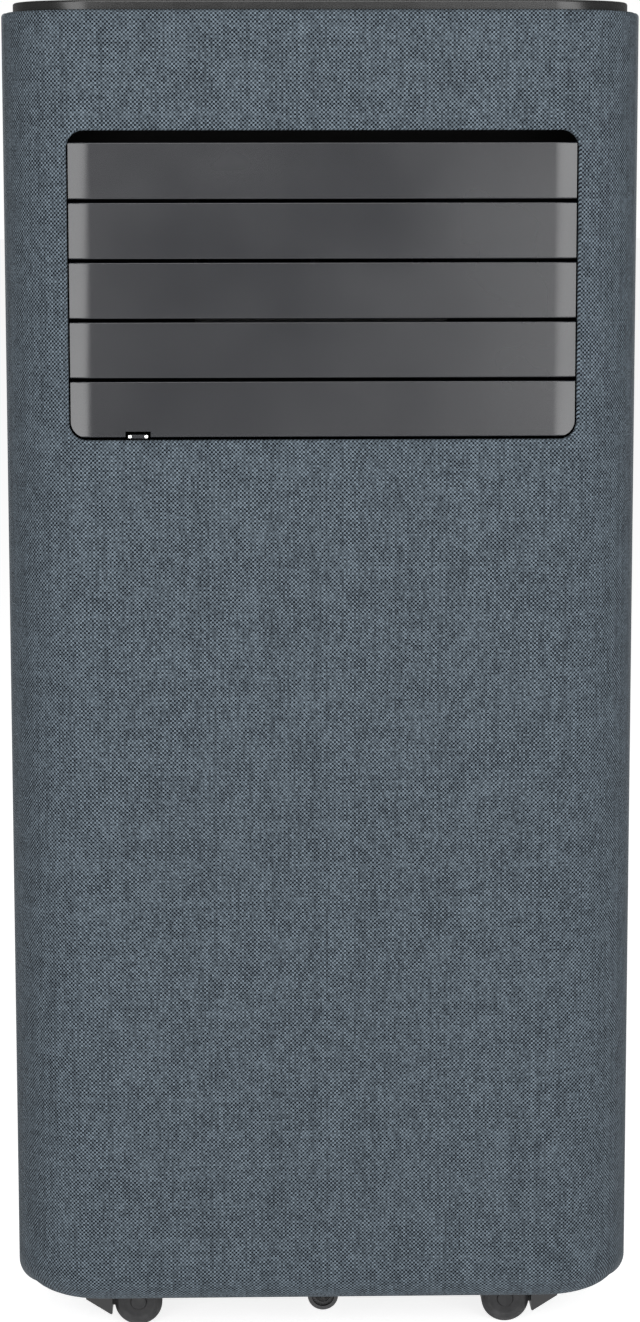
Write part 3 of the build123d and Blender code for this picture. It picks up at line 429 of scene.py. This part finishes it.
# ---------------------------------------------------------------- mesh helpers
def shade_smooth(made, angle):
    """Shades faces smoothly, with a sharp edge wherever they turn by more than an angle in degrees."""
    for face in made.faces:
        face.smooth = True
    for edge in made.edges:
        edge.smooth = not (len(edge.link_faces) == 2 and edge.calc_face_angle(0.0) > math.radians(angle))


def finish_piece(made, name, material, body=cabinet, replaces=(), angle=35.0):
    """Turns a bmesh into a finished piece: shaded, riding on its body, with its finish."""
    shade_smooth(made, angle)
    mesh = bpy.data.meshes.new(name)
    made.to_mesh(mesh)
    made.free()
    piece = bpy.data.objects.new(name, mesh)
    bpy.context.scene.collection.objects.link(piece)
    mesh.materials.append(material)
    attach(piece, body)
    if replaces:
        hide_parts(*replaces)
    return piece


def add_modifier(piece, kind, **values):
    """A modifier with its values set."""
    modifier = piece.modifiers.new(kind.title(), kind)
    for key, value in values.items():
        setattr(modifier, key, value)
    return modifier


def settle(piece):
    """Takes the result of a piece's modifiers as its mesh."""
    bpy.context.view_layer.update()
    graph = bpy.context.evaluated_depsgraph_get()
    mesh = bpy.data.meshes.new_from_object(piece.evaluated_get(graph))
    piece.modifiers.clear()
    piece.data = mesh


def cad_copy(node, name, finish, angle=30.0):
    """A CAD node's own shape as one merged, smoothly shaded piece on the same body."""
    made = bmesh.new()
    made.from_mesh(frame["nodes"][node].data)
    bmesh.ops.remove_doubles(made, verts=made.verts, dist=2e-6)
    bmesh.ops.dissolve_degenerate(made, edges=made.edges, dist=1e-7)
    body = frame["nodes"][node]["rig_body"]
    piece = finish_piece(made, name, finishes()[finish], body, (node,), angle=angle)
    add_modifier(piece, "WEIGHTED_NORMAL", keep_sharp=True, weight=80)
    return piece


def paint(finish, *nodes):
    """Gives CAD nodes their finish in the slots that they have."""
    material = finishes()[finish]
    for node in nodes:
        item = frame["nodes"][node]
        if not item.material_slots:
            item.data.materials.append(material)
        for place in item.material_slots:
            place.material = material
        for face in item.data.polygons:
            face.use_smooth = True


def wall_profile(made, x, y, low, high, lip, bottom, rim, flange, levels=()):
    """The upright section of the casing at x, y as a chain of edges: lip, bottom roll, wall, rim
    roll, flange. It faces -X, and each step in from the wall is towards +X."""
    points = [(lip, low)]
    points += [
        (bottom * (1 - math.sin(a)), low + bottom * (1 - math.cos(a)))
        for a in (math.pi / 2 * i / 12 for i in range(13))
    ]
    points += [(0.0, level) for level in levels]
    points += [
        (rim * (1 - math.cos(a)), high - rim * (1 - math.sin(a)))
        for a in (math.pi / 2 * i / 6 for i in range(7))
    ]
    points += [(flange, high)]
    verts = [made.verts.new((x + inset, y, z)) for inset, z in points]
    return [made.edges.new(pair) for pair in zip(verts, verts[1:])]


def of_kind(geometry, kind):
    """Only the edges, or only the corners, of what an operator made."""
    return [item for item in geometry if isinstance(item, kind)]


def sweep_straight(made, edges, step):
    """Extrudes an edge chain along a step and returns the new chain."""
    new = bmesh.ops.extrude_edge_only(made, edges=edges)["geom"]
    bmesh.ops.translate(made, verts=of_kind(new, bmesh.types.BMVert), vec=step)
    return of_kind(new, bmesh.types.BMEdge)


def sweep_corner(made, edges, centre, turn, steps):
    """Spins an edge chain about an upright axis and returns the new chain."""
    result = bmesh.ops.spin(
        made, geom=edges + list({v for e in edges for v in e.verts}), cent=centre, axis=(0, 0, 1),
        angle=turn, steps=steps, use_duplicate=False,
    )
    return of_kind(result["geom_last"], bmesh.types.BMEdge)


def cut_plane(made, point, normal, faces=None, clear=False):
    """Cuts faces along a plane, and takes away what is beyond it if asked."""
    faces = list(made.faces) if faces is None else faces
    around = {e for f in faces for e in f.edges} | {v for f in faces for v in f.verts}
    bmesh.ops.bisect_plane(
        made, geom=faces + list(around), dist=1e-7, plane_co=point, plane_no=normal, clear_outer=clear
    )


def slab(size, centre=(0, 0, 0)):
    """A plain box, as a bmesh."""
    made = bmesh.new()
    bmesh.ops.create_cube(made, size=1.0)
    bmesh.ops.scale(made, vec=size, verts=made.verts)
    bmesh.ops.translate(made, vec=centre, verts=made.verts)
    return made


def prism(width, height, radius, depth, centre, segments=8):
    """A rounded box that runs along Y, as a bmesh."""
    made = slab((width, depth, height))
    edges = [e for e in made.edges if abs((e.verts[0].co - e.verts[1].co).y) > depth * 0.5]
    bmesh.ops.bevel(
        made, geom=edges, offset=radius, offset_type="OFFSET", segments=segments, profile=0.5,
        affect="EDGES", material=-1,
    )
    bmesh.ops.translate(made, vec=centre, verts=made.verts)
    return made


def turn_mesh(made, angle, axis):
    """Turns a bmesh about an axis through its origin."""
    bmesh.ops.rotate(made, cent=(0, 0, 0), matrix=Matrix.Rotation(angle, 3, axis), verts=made.verts)


def disc(radius, depth, centre, axis="Y", segments=64):
    """A cylinder along Y or Z, as a bmesh."""
    made = bmesh.new()
    bmesh.ops.create_cone(
        made, cap_ends=True, segments=segments, radius1=radius, radius2=radius, depth=depth
    )
    if axis == "Y":
        turn_mesh(made, math.pi / 2, "X")
    bmesh.ops.translate(made, vec=centre, verts=made.verts)
    return made


def joined(parts):
    """Several bmeshes as one."""
    whole = bmesh.new()
    for part in parts:
        mesh = bpy.data.meshes.new("part")
        part.to_mesh(mesh)
        part.free()
        whole.from_mesh(mesh)
        bpy.data.meshes.remove(mesh)
    return whole


def carve(piece, cutter):
    """Cuts a bmesh's shape out of a piece."""
    mesh = bpy.data.meshes.new("cutter")
    cutter.to_mesh(mesh)
    cutter.free()
    tool = bpy.data.objects.new("cutter", mesh)
    bpy.context.scene.collection.objects.link(tool)
    add_modifier(piece, "BOOLEAN", operation="DIFFERENCE", solver="EXACT", object=tool)
    settle(piece)
    bpy.data.objects.remove(tool)
    bpy.data.meshes.remove(mesh)


# ---------------------------------------------------------------- fabric
def outlet_centre(settings):
    """The middle of the air outlet on the front."""
    return Vector((0.0, fabric_low.y, fabric_high.z - settings.outlet_drop - settings.outlet_height / 2))


def cut_outlet(made, settings):
    """Opens the rounded outlet in the front of the swept cover, corner by corner."""
    middle = outlet_centre(settings)
    half_x = settings.outlet_width / 2 + settings.fold
    half_z = settings.outlet_height / 2 + settings.fold
    radius = settings.outlet_corner + settings.fold
    behind = fabric_low.y + settings.corner_radius * 0.5

    def front_faces():
        return [f for f in made.faces if f.calc_center_median().y < behind and abs(f.normal.y) > 0.3]

    for offset in (half_x, half_x - radius):
        for side in (-1, 1):
            cut_plane(made, (side * offset, 0, 0), (side, 0, 0), front_faces())
    for offset in (half_z, half_z - radius):
        for side in (-1, 1):
            cut_plane(made, (0, 0, middle.z + side * offset), (0, 0, side), front_faces())
    steps = 8
    angles = [math.pi / 2 * i / steps for i in range(steps + 1)]
    for side_x in (-1, 1):
        for side_z in (-1, 1):
            centre = Vector((side_x * (half_x - radius), 0, middle.z + side_z * (half_z - radius)))

            def corner_faces():
                return [
                    f for f in front_faces()
                    if 0 < (f.calc_center_median().x - centre.x) * side_x < radius
                    and 0 < (f.calc_center_median().z - centre.z) * side_z < radius
                ]

            normals = [Vector((side_x * math.cos(a), 0, side_z * math.sin(a))) for a in angles]
            for normal in normals[1:-1]:
                cut_plane(made, centre + normal * radius, normal, corner_faces())
            inside = [
                f for f in corner_faces()
                if all((f.calc_center_median() - centre).dot(n) < radius for n in normals)
            ]
            bmesh.ops.delete(made, geom=inside, context="FACES")
    rest = []
    for face in front_faces():
        spot = face.calc_center_median()
        off_x, off_z = abs(spot.x), abs(spot.z - middle.z)
        if off_x < half_x and off_z < half_z and not (off_x > half_x - radius and off_z > half_z - radius):
            rest.append(face)
    bmesh.ops.delete(made, geom=rest, context="FACES")


def turn_in(made, settings):
    """Rolls the fabric over the outlet's edge and a little way inside it."""
    middle = outlet_centre(settings)
    reach_x = settings.outlet_width / 2 + settings.fold
    reach_z = settings.outlet_height / 2 + settings.fold
    core_x = settings.outlet_width / 2 - settings.outlet_corner
    core_z = settings.outlet_height / 2 - settings.outlet_corner
    border = [
        e for e in made.edges
        if len(e.link_faces) == 1
        and all(abs(v.co.x) < reach_x + 1e-4 and abs(v.co.z - middle.z) < reach_z + 1e-4 for v in e.verts)
    ]
    if not border:
        raise RuntimeError("the outlet has no edge to turn in")
    turns = [math.pi / 2 * i / 4 for i in range(5)]
    moves = [
        (settings.fold * (math.sin(b) - math.sin(a)), settings.fold * (math.cos(a) - math.cos(b)))
        for a, b in zip(turns, turns[1:])
    ]
    moves.append((0.0, settings.turn_in - settings.fold))
    for inward, deeper in moves:
        new = bmesh.ops.extrude_edge_only(made, edges=border)["geom"]
        border = of_kind(new, bmesh.types.BMEdge)
        for vert in of_kind(new, bmesh.types.BMVert):
            out_x = vert.co.x - max(-core_x, min(core_x, vert.co.x))
            out_z = vert.co.z - middle.z - max(-core_z, min(core_z, vert.co.z - middle.z))
            away = Vector((out_x, 0.0, out_z)).normalized()
            vert.co += Vector((0.0, deeper, 0.0)) - away * inward


def cloth_coordinates(made, settings):
    """Lays the cloth flat: across is the way round the front and along is the way up, in metres."""
    layer = made.loops.layers.uv.new("cloth")
    radius, bottom, rim = settings.corner_radius, settings.bottom_radius, settings.rim_radius
    flat = fabric_high.x - radius
    centre_y = fabric_low.y + radius
    middle = outlet_centre(settings)
    for face in made.faces:
        for loop in face.loops:
            x, y, z = loop.vert.co
            beyond = abs(x) - flat
            if beyond > 0:
                depth = radius - math.hypot(beyond, centre_y - y)
                across = math.copysign(flat + radius * math.atan2(beyond, max(centre_y - y, 1e-6)), x)
            else:
                depth, across = y - fabric_low.y, x
            along = z
            low_roll, high_roll = fabric_low.z + bottom, fabric_high.z - rim
            if z < low_roll:
                angle = math.atan2(low_roll - z, max(bottom - depth, 0.0))
                along = low_roll - bottom * angle - max(depth - bottom, 0.0)
            elif z > high_roll:
                angle = math.atan2(z - high_roll, max(rim - depth, 0.0))
                along = high_roll + rim * angle + max(depth - rim, 0.0)
            elif depth > 1e-4 and abs(z - middle.z) < settings.outlet_height / 2 + 1e-3:
                across, along = across + depth, along + depth
            loop[layer].uv = (across, along)


class AC_OT_front_fabric(Operator):
    """Makes the woven fabric that wraps the front cover"""

    bl_idname = "air_conditioner.front_fabric"
    bl_label = "Front Fabric"

    def execute(self, context):
        settings = context.scene.ac_fabric
        made = bmesh.new()
        radius = settings.corner_radius
        flat = fabric_high.x - radius
        centre_y = fabric_low.y + radius
        middle = outlet_centre(settings)
        levels = [middle.z - settings.outlet_height * 1.6, middle.z - settings.outlet_height]
        edges = wall_profile(
            made, fabric_low.x, centre_y, fabric_low.z, fabric_high.z, settings.lip,
            settings.bottom_radius, settings.rim_radius, settings.flange, levels,
        )
        edges = sweep_corner(made, edges, (-flat, centre_y, 0), math.pi / 2, 26)
        for _ in range(12):
            edges = sweep_straight(made, edges, (flat / 6, 0, 0))
        sweep_corner(made, edges, (flat, centre_y, 0), math.pi / 2, 26)
        bmesh.ops.remove_doubles(made, verts=made.verts, dist=1e-6)
        bmesh.ops.recalc_face_normals(made, faces=made.faces)
        front = min(made.faces, key=lambda f: f.calc_center_median().y)
        if front.normal.y > 0:
            bmesh.ops.reverse_faces(made, faces=made.faces)
        cut_plane(made, (0, fabric_high.y, 0), (0, 1, 0), clear=True)
        cut_outlet(made, settings)
        turn_in(made, settings)
        bmesh.ops.dissolve_degenerate(made, edges=made.edges, dist=1e-6)
        cloth_coordinates(made, settings)
        cloth = finish_piece(
            made, "woven_cover", woven(settings), replaces=("front_fabric",), angle=60
        )
        add_modifier(cloth, "SOLIDIFY", thickness=settings.thickness, offset=-1.0)
        settle(cloth)
        add_modifier(cloth, "WEIGHTED_NORMAL", keep_sharp=True, weight=60)
        paint("carrier", "front_cover")
        return {"FINISHED"}


# ---------------------------------------------------------------- housing
class AC_OT_rear_housing(Operator):
    """Makes the housing of sides and back, with its openings, seams and hand grips"""

    bl_idname = "air_conditioner.rear_housing"
    bl_label = "Rear Housing"

    def execute(self, context):
        settings = context.scene.ac_housing
        low, high = housing_low, housing_high
        radius = settings.corner_radius
        flat = high.x - radius
        front_y = fabric_low.y + radius
        back_y = high.y - radius
        made = bmesh.new()
        edges = wall_profile(
            made, low.x, front_y, low.z, high.z, settings.lip, settings.bottom_radius,
            settings.rim_radius, settings.flange,
        )
        sweep_corner(made, edges, (-flat, front_y, 0), math.radians(6), 2)
        edges = sweep_straight(made, edges, (0, back_y - front_y, 0))
        edges = sweep_corner(made, edges, (-flat, back_y, 0), -math.pi / 2, 24)
        edges = sweep_straight(made, edges, (2 * flat, 0, 0))
        edges = sweep_corner(made, edges, (flat, back_y, 0), -math.pi / 2, 24)
        edges = sweep_straight(made, edges, (0, front_y - back_y, 0))
        sweep_corner(made, edges, (flat, front_y, 0), -math.radians(6), 2)
        bmesh.ops.remove_doubles(made, verts=made.verts, dist=1e-6)
        bmesh.ops.recalc_face_normals(made, faces=made.faces)
        back = max(made.faces, key=lambda f: f.calc_center_median().y)
        if back.normal.y < 0:
            bmesh.ops.reverse_faces(made, faces=made.faces)
        cut_plane(made, (0, low.y, 0), (0, -1, 0), clear=True)
        shell = finish_piece(
            made, "housing_shell", finishes()["housing"], replaces=("rear_housing",)
        )
        add_modifier(shell, "SOLIDIFY", thickness=settings.wall, offset=-1.0, use_even_offset=True)
        settle(shell)
        carve(shell, self.holes(settings))
        made = bmesh.new()
        made.from_mesh(shell.data)
        shade_smooth(made, 30.0)
        made.to_mesh(shell.data)
        made.free()
        add_modifier(
            shell, "BEVEL", width=0.0004, segments=2, limit_method="ANGLE",
            angle_limit=math.radians(40), harden_normals=False,
        )
        add_modifier(shell, "WEIGHTED_NORMAL", keep_sharp=True, weight=80)
        cad_copy("side_handles", "hand_grips", "grip")
        return {"FINISHED"}

    def holes(self, settings):
        """Everything that is open in the back and side walls, and the seams, as one cutter."""
        gap = settings.clearance
        depth = 10 * settings.wall
        collar, plug, gland, screw = 0.079, 0.0084, 0.0088, 0.0041
        parts = []
        for node in ("upper_grille", "lower_grille"):
            low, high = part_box(node)
            size = high - low
            centre = Vector((0, housing_high.y, (low.z + high.z) / 2))
            parts.append(prism(size.x + 2 * gap, size.z + 2 * gap, 0.008, depth, centre))
        low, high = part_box("exhaust_collar")
        parts.append(disc(collar + gap, depth, (0, housing_high.y, (low.z + high.z) / 2), "Y", 96))
        for node, size in (("rear_drain_plug", plug), ("cord_gland", gland)):
            low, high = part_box(node)
            centre = (low + high) / 2
            parts.append(disc(size, depth, (centre.x, housing_high.y, centre.z)))
        low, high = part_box("side_handles")
        for side in (-1, 1):
            cup = prism(high.y - low.y + 2 * gap, high.z - low.z + 2 * gap, 0.009, depth, (0, 0, 0))
            turn_mesh(cup, math.pi / 2, "Z")
            middle = (low + high) / 2
            bmesh.ops.translate(cup, vec=(side * housing_high.x, middle.y, middle.z), verts=cup.verts)
            parts.append(cup)
        groove, middle_z = 0.0016, 0.4
        seam_y = housing_high.y - settings.corner_radius - settings.seam_from_corner
        for side in (-1, 1):
            parts.append(slab((groove, settings.seam, 2.0), (side * housing_high.x, seam_y, middle_z)))
        for spot in screw_spots()["back"]:
            parts.append(disc(screw, depth, (spot.x, housing_high.y, spot.z), "Y", 32))
        for spot in screw_spots()["under"]:
            if spot.y > housing_low.y:
                parts.append(disc(screw, depth, (spot.x, spot.y, housing_low.z), "Z", 32))
        return joined(parts)


def screw_spots():
    """The middles of the screw heads in the back wall and under the lip, read from the CAD screws."""
    made = bmesh.new()
    made.from_mesh(frame["nodes"]["housing_screws"].data)
    bmesh.ops.remove_doubles(made, verts=made.verts, dist=2e-6)
    seen, spots = set(), {"back": [], "under": []}
    for start in made.verts:
        if start in seen:
            continue
        stack, group = [start], []
        seen.add(start)
        while stack:
            vert = stack.pop()
            group.append(vert.co.copy())
            for edge in vert.link_edges:
                other = edge.other_vert(vert)
                if other not in seen:
                    seen.add(other)
                    stack.append(other)
        low = Vector([min(p[i] for p in group) for i in range(3)])
        high = Vector([max(p[i] for p in group) for i in range(3)])
        middle = (low + high) / 2
        if high.y - low.y > high.z - low.z:
            spots["back"].append(Vector((middle.x, high.y, middle.z)))
        else:
            spots["under"].append(Vector((middle.x, middle.y, low.z)))
    made.free()
    return spots


class AC_OT_screws(Operator):
    """Makes the screw heads in the back and under the lip"""

    bl_idname = "air_conditioner.screws"
    bl_label = "Screws"

    def execute(self, context):
        heads = []
        for spot in screw_spots()["back"]:
            heads.append(self.head(spot, Matrix.Rotation(-math.pi / 2, 3, "X")))
        for spot in screw_spots()["under"]:
            heads.append(self.head(spot, Matrix.Rotation(math.pi, 3, "X")))
        finish_piece(
            joined(heads), "screw_heads", finishes()["zinc"], replaces=("housing_screws",),
        )
        return {"FINISHED"}

    def head(self, spot, turn):
        """One tapered head with a sunk crown, on the spot."""
        made = bmesh.new()
        bmesh.ops.create_cone(
            made, cap_ends=True, segments=24, radius1=0.0036, radius2=0.0030, depth=0.0014
        )
        recess, sunk = 0.0012, 0.0006
        top = [f for f in made.faces if f.normal.z > 0.9]
        bmesh.ops.inset_region(made, faces=top, thickness=recess)
        crown = [f for f in made.faces if f.normal.z > 0.9 and f.calc_center_median().length < recess]
        pressed = bmesh.ops.extrude_discrete_faces(made, faces=crown)["faces"]
        corners = list({v for f in pressed for v in f.verts})
        bmesh.ops.translate(made, vec=(0, 0, -sunk), verts=corners)
        bmesh.ops.scale(made, vec=(0.6, 0.6, 1.0), verts=corners)
        bmesh.ops.recalc_face_normals(made, faces=made.faces)
        bmesh.ops.translate(made, vec=(0, 0, -0.0008), verts=made.verts)
        bmesh.ops.rotate(made, cent=(0, 0, 0), matrix=turn, verts=made.verts)
        bmesh.ops.translate(made, vec=spot, verts=made.verts)
        return made


# ---------------------------------------------------------------- louvers
class AC_OT_louvers(Operator):
    """Finishes the louvers, their linkage and the catch with its two steel pins"""

    bl_idname = "air_conditioner.louvers"
    bl_label = "Louvers"

    def execute(self, context):
        settings = context.scene.ac_louver
        for index in range(1, 6):
            cad_copy(f"louver_{index}", f"louver_blade_{index}", "louver", 50.0)
            paint("nylon", f"louver_crank_{index}")
        cad_copy("louver_catch", "catch_bar", "louver")
        low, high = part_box("louver_catch")
        pins = []
        for side in (-1, 1):
            spot = ((low.x + high.x) / 2 + side * 0.0042, low.y + 0.0001, high.z - 0.00105)
            pin = disc(settings.pin, 0.0012, spot, "Y", 24)
            rims = [e for e in pin.edges if len(e.link_faces) == 2 and e.calc_face_angle(0.0) > 1.0]
            bmesh.ops.bevel(
                pin, geom=rims, offset=0.0002, offset_type="OFFSET", segments=2, profile=0.5,
                affect="EDGES", material=-1,
            )
            pins.append(pin)
        finish_piece(joined(pins), "catch_pins", finishes()["pin"])
        paint("nylon", "drive_crank")
        # the outlet frame and link take the duct finish, whose near-black is partly painted shade inside
        # the outlet
        paint("duct", "louver_link", "outlet_frame")
        paint("steel", "louver_motor")
        return {"FINISHED"}


# ---------------------------------------------------------------- top
class AC_OT_top(Operator):
    """Finishes the rim, the gloss panel, its keys with their marks and the display window"""

    bl_idname = "air_conditioner.top"
    bl_label = "Control Panel"
    ink = 0.00012

    def execute(self, context):
        cad_copy("top_trim", "top_rim", "rim")
        cad_copy("control_panel", "top_panel", "gloss")
        cad_copy("display_window", "window", "window")
        paint("board", "control_board")
        for key in ("power", "mode", "fan", "down", "up", "timer"):
            cad_copy(f"button_{key}", f"key_{key}", "key")
            low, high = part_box(f"button_{key}")
            middle = (low + high) / 2
            made = joined(self.marks(key))
            bmesh.ops.translate(made, vec=(middle.x, middle.y, high.z + 0.00004), verts=made.verts)
            body = frame["nodes"][f"button_{key}"]["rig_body"]
            finish_piece(made, f"mark_{key}", finishes()["print"], body)
        return {"FINISHED"}

    def bar(self, width, depth, x=0.0, y=0.0, turn=0.0):
        """A thin printed bar."""
        made = slab((width, depth, self.ink))
        turn_mesh(made, turn, "Z")
        bmesh.ops.translate(made, vec=(x, y, 0), verts=made.verts)
        return made

    def ring(self, radius, width, start=0.0, sweep=2 * math.pi):
        """A thin printed ring or part of one."""
        made = bmesh.new()
        near, far, half = radius - width / 2, radius + width / 2, self.ink / 2
        corners = [(near, -half), (far, -half), (far, half), (near, half)]
        verts = [made.verts.new((math.cos(start) * r, math.sin(start) * r, z)) for r, z in corners]
        face = made.faces.new(verts)
        full = sweep > 6.28
        bmesh.ops.spin(
            made, geom=[face] if not full else list(face.edges) + verts, cent=(0, 0, 0), axis=(0, 0, 1),
            angle=sweep, steps=32, use_merge=full,
        )
        if full:
            bmesh.ops.delete(made, geom=[face], context="FACES_ONLY")
        bmesh.ops.remove_doubles(made, verts=made.verts, dist=1e-6)
        bmesh.ops.recalc_face_normals(made, faces=made.faces)
        return made

    def marks(self, key):
        """The plain sign on one key: broken ring, three bars, fan, minus, plus or clock."""
        ring, bar = self.ring, self.bar
        if key == "power":
            broken = ring(0.0030, 0.0006, math.radians(120), math.radians(300))
            return [broken, bar(0.0006, 0.0030, 0, 0.0028)]
        if key == "mode":
            return [bar(0.0062, 0.0006, 0, y) for y in (-0.0018, 0.0, 0.0018)]
        if key == "fan":
            return [ring(0.0008, 0.0007)] + [
                bar(0.0030, 0.0011, 0.0027 * math.cos(a), 0.0027 * math.sin(a), a + 0.5)
                for a in (math.pi / 2, math.pi * 7 / 6, math.pi * 11 / 6)
            ]
        if key == "down":
            return [bar(0.0060, 0.0008)]
        if key == "up":
            return [bar(0.0060, 0.0008), bar(0.0008, 0.0026, 0, 0.0017), bar(0.0008, 0.0026, 0, -0.0017)]
        return [ring(0.0031, 0.0006), bar(0.0006, 0.0022, 0, 0.0011), bar(0.0016, 0.0006, 0.0011, 0)]


# ---------------------------------------------------------------- back and base
class AC_OT_back(Operator):
    """Finishes the intake grilles, filters, exhaust collar, cord gland and rear drain cap"""

    bl_idname = "air_conditioner.back"
    bl_label = "Back"

    def execute(self, context):
        for node in ("upper_grille", "lower_grille"):
            cad_copy(node, f"{node}_plate", "grille")
        paint("net", "upper_filter", "lower_filter")
        cad_copy("exhaust_collar", "hose_collar", "black")
        cad_copy("cord_gland", "gland", "rubber")
        cad_copy("rear_drain_plug", "drain_cap", "rubber")
        return {"FINISHED"}


class AC_OT_base(Operator):
    """Finishes the base pan, its drain bung and the four casters"""

    bl_idname = "air_conditioner.base"
    bl_label = "Base and Casters"

    def execute(self, context):
        cad_copy("base_pan", "base_tray", "black")
        cad_copy("front_drain_plug", "drain_bung", "rubber")
        for corner in ("front_left", "front_right", "rear_left", "rear_right"):
            cad_copy(f"caster_yoke_{corner}", f"caster_{corner}", "caster")
            cad_copy(f"caster_wheels_{corner}", f"wheels_{corner}", "tread")
        return {"FINISHED"}


class AC_OT_inside(Operator):
    """Finishes what is inside the cabinet"""

    bl_idname = "air_conditioner.inside"
    bl_label = "Inside"

    def execute(self, context):
        paint("black", "deck", "upper_blower_housing", "lower_blower_housing", "control_box")
        paint("black", "upper_blower_wheel", "lower_blower_wheel")
        paint("steel", "upper_blower_motor", "lower_blower_motor")
        paint("fins", "evaporator_coil", "condenser_coil")
        paint("enamel", "compressor")
        paint("rubber", "compressor_feet")
        paint("copper", "refrigerant_pipes")
        return {"FINISHED"}


# ---------------------------------------------------------------- stage
def plain_surface(name, base, roughness, glow):
    """A pale studio surface, lit a little from within, with a barely visible change of tone."""
    shade = Shade(name, base, roughness, specular=0.1)
    shade.shader.inputs["Emission Color"].default_value = (1.0, 1.0, 1.0, 1.0)
    shade.shader.inputs["Emission Strength"].default_value = glow
    slow = shade.noise(shade.place(), 0.8)
    shade.drive(shade.mix(slow, tuple(v * 0.985 for v in base), base))
    return shade.material


class AC_OT_stage(Operator):
    """Makes the pale floor, the soft lights and the camera"""

    bl_idname = "air_conditioner.stage"
    bl_label = "Stage"

    def execute(self, context):
        settings = context.scene.ac_stage
        made = bmesh.new()
        bmesh.ops.create_circle(made, cap_ends=True, segments=96, radius=30.0)
        mesh = bpy.data.meshes.new("floor")
        made.to_mesh(mesh)
        made.free()
        floor = bpy.data.objects.new("floor", mesh)
        bpy.context.scene.collection.objects.link(floor)
        mesh.materials.append(plain_surface("pale_floor", settings.floor[:], 0.9, settings.glow))
        self.sky(settings)
        self.light("left_light", (-1.04, -2.34, 0.70), (0, 0, 0.45), 1.30, 2.0, settings.left)
        self.light("right_light", (1.11, -2.35, 0.70), (0, 0, 0.45), 1.53, 2.0, settings.right)
        self.light("top_light", (0, -2.4, 3.0), (0, 0, 0.4), 2.4, 1.6, settings.top)
        self.camera(settings)
        context.scene.view_settings.view_transform = "Standard"
        return {"FINISHED"}

    def sky(self, settings):
        """Even pale light from all round."""
        world = bpy.data.worlds.new("studio")
        world.use_nodes = True
        background = world.node_tree.nodes["Background"]
        background.inputs["Color"].default_value = (1.0, 1.0, 1.0, 1.0)
        background.inputs["Strength"].default_value = settings.sky
        plain = world.node_tree.nodes.new("ShaderNodeBackground")
        plain.inputs["Color"].default_value = (1.0, 1.0, 1.0, 1.0)
        plain.inputs["Strength"].default_value = settings.backdrop
        ray = world.node_tree.nodes.new("ShaderNodeLightPath")
        either = world.node_tree.nodes.new("ShaderNodeMixShader")
        link = world.node_tree.links.new
        link(ray.outputs["Is Camera Ray"], either.inputs["Fac"])
        link(background.outputs["Background"], either.inputs[1])
        link(plain.outputs["Background"], either.inputs[2])
        link(either.outputs["Shader"], world.node_tree.nodes["World Output"].inputs["Surface"])
        bpy.context.scene.world = world

    def light(self, name, place, target, width, high, power):
        """A soft rectangular light that faces a point."""
        data = bpy.data.lights.new(name, "AREA")
        data.shape = "RECTANGLE"
        data.size, data.size_y, data.energy = width, high, power
        lamp = bpy.data.objects.new(name, data)
        lamp.location = place
        lamp.rotation_euler = (Vector(target) - Vector(place)).to_track_quat("-Z", "Y").to_euler()
        bpy.context.scene.collection.objects.link(lamp)

    def camera(self, settings):
        """The camera in front, a little above the middle of the cabinet."""
        data = bpy.data.cameras.new("camera")
        data.lens = settings.lens
        data.sensor_width = 36.0
        data.clip_start, data.clip_end = 0.05, 100.0
        camera = bpy.data.objects.new("camera", data)
        camera.location = (settings.side, fabric_low.y - settings.distance, settings.height)
        camera.rotation_euler = (math.pi / 2 - settings.tilt, settings.roll, settings.turn)
        bpy.context.scene.collection.objects.link(camera)
        bpy.context.scene.camera = camera


# ---------------------------------------------------------------- add-on
class AC_PT_panel(Panel):
    """The sizes and colours, and a button for each group of pieces"""

    bl_idname = "AC_PT_panel"
    bl_label = "Portable Air Conditioner"
    bl_space_type = "VIEW_3D"
    bl_region_type = "UI"
    bl_category = "Air Conditioner"

    def draw(self, context):
        for group in (context.scene.ac_fabric, context.scene.ac_housing, context.scene.ac_louver,
                      context.scene.ac_stage):
            box = self.layout.box()
            for key in group.bl_rna.properties.keys():
                if key not in ("rna_type", "name"):
                    box.prop(group, key)
        for operator in steps:
            self.layout.operator(operator.bl_idname)


steps = (
    AC_OT_stage, AC_OT_front_fabric, AC_OT_rear_housing, AC_OT_screws, AC_OT_louvers, AC_OT_top,
    AC_OT_back, AC_OT_base, AC_OT_inside,
)
groups = (
    ("ac_fabric", FabricSettings), ("ac_housing", HousingSettings), ("ac_louver", LouverSettings),
    ("ac_stage", StageSettings),
)


def register():
    for _, group in groups:
        bpy.utils.register_class(group)
    for operator in steps:
        bpy.utils.register_class(operator)
    bpy.utils.register_class(AC_PT_panel)
    for name, group in groups:
        setattr(bpy.types.Scene, name, PointerProperty(type=group))


def unregister():
    for name, _ in groups:
        delattr(bpy.types.Scene, name)
    bpy.utils.unregister_class(AC_PT_panel)
    for operator in reversed(steps):
        bpy.utils.unregister_class(operator)
    for _, group in reversed(groups):
        bpy.utils.unregister_class(group)


def main():
    register()
    bpy.ops.air_conditioner.stage()
    bpy.ops.air_conditioner.front_fabric()
    bpy.ops.air_conditioner.rear_housing()
    bpy.ops.air_conditioner.screws()
    bpy.ops.air_conditioner.louvers()
    bpy.ops.air_conditioner.top()
    bpy.ops.air_conditioner.back()
    bpy.ops.air_conditioner.base()
    bpy.ops.air_conditioner.inside()


if __name__ == "__main__":
    main()
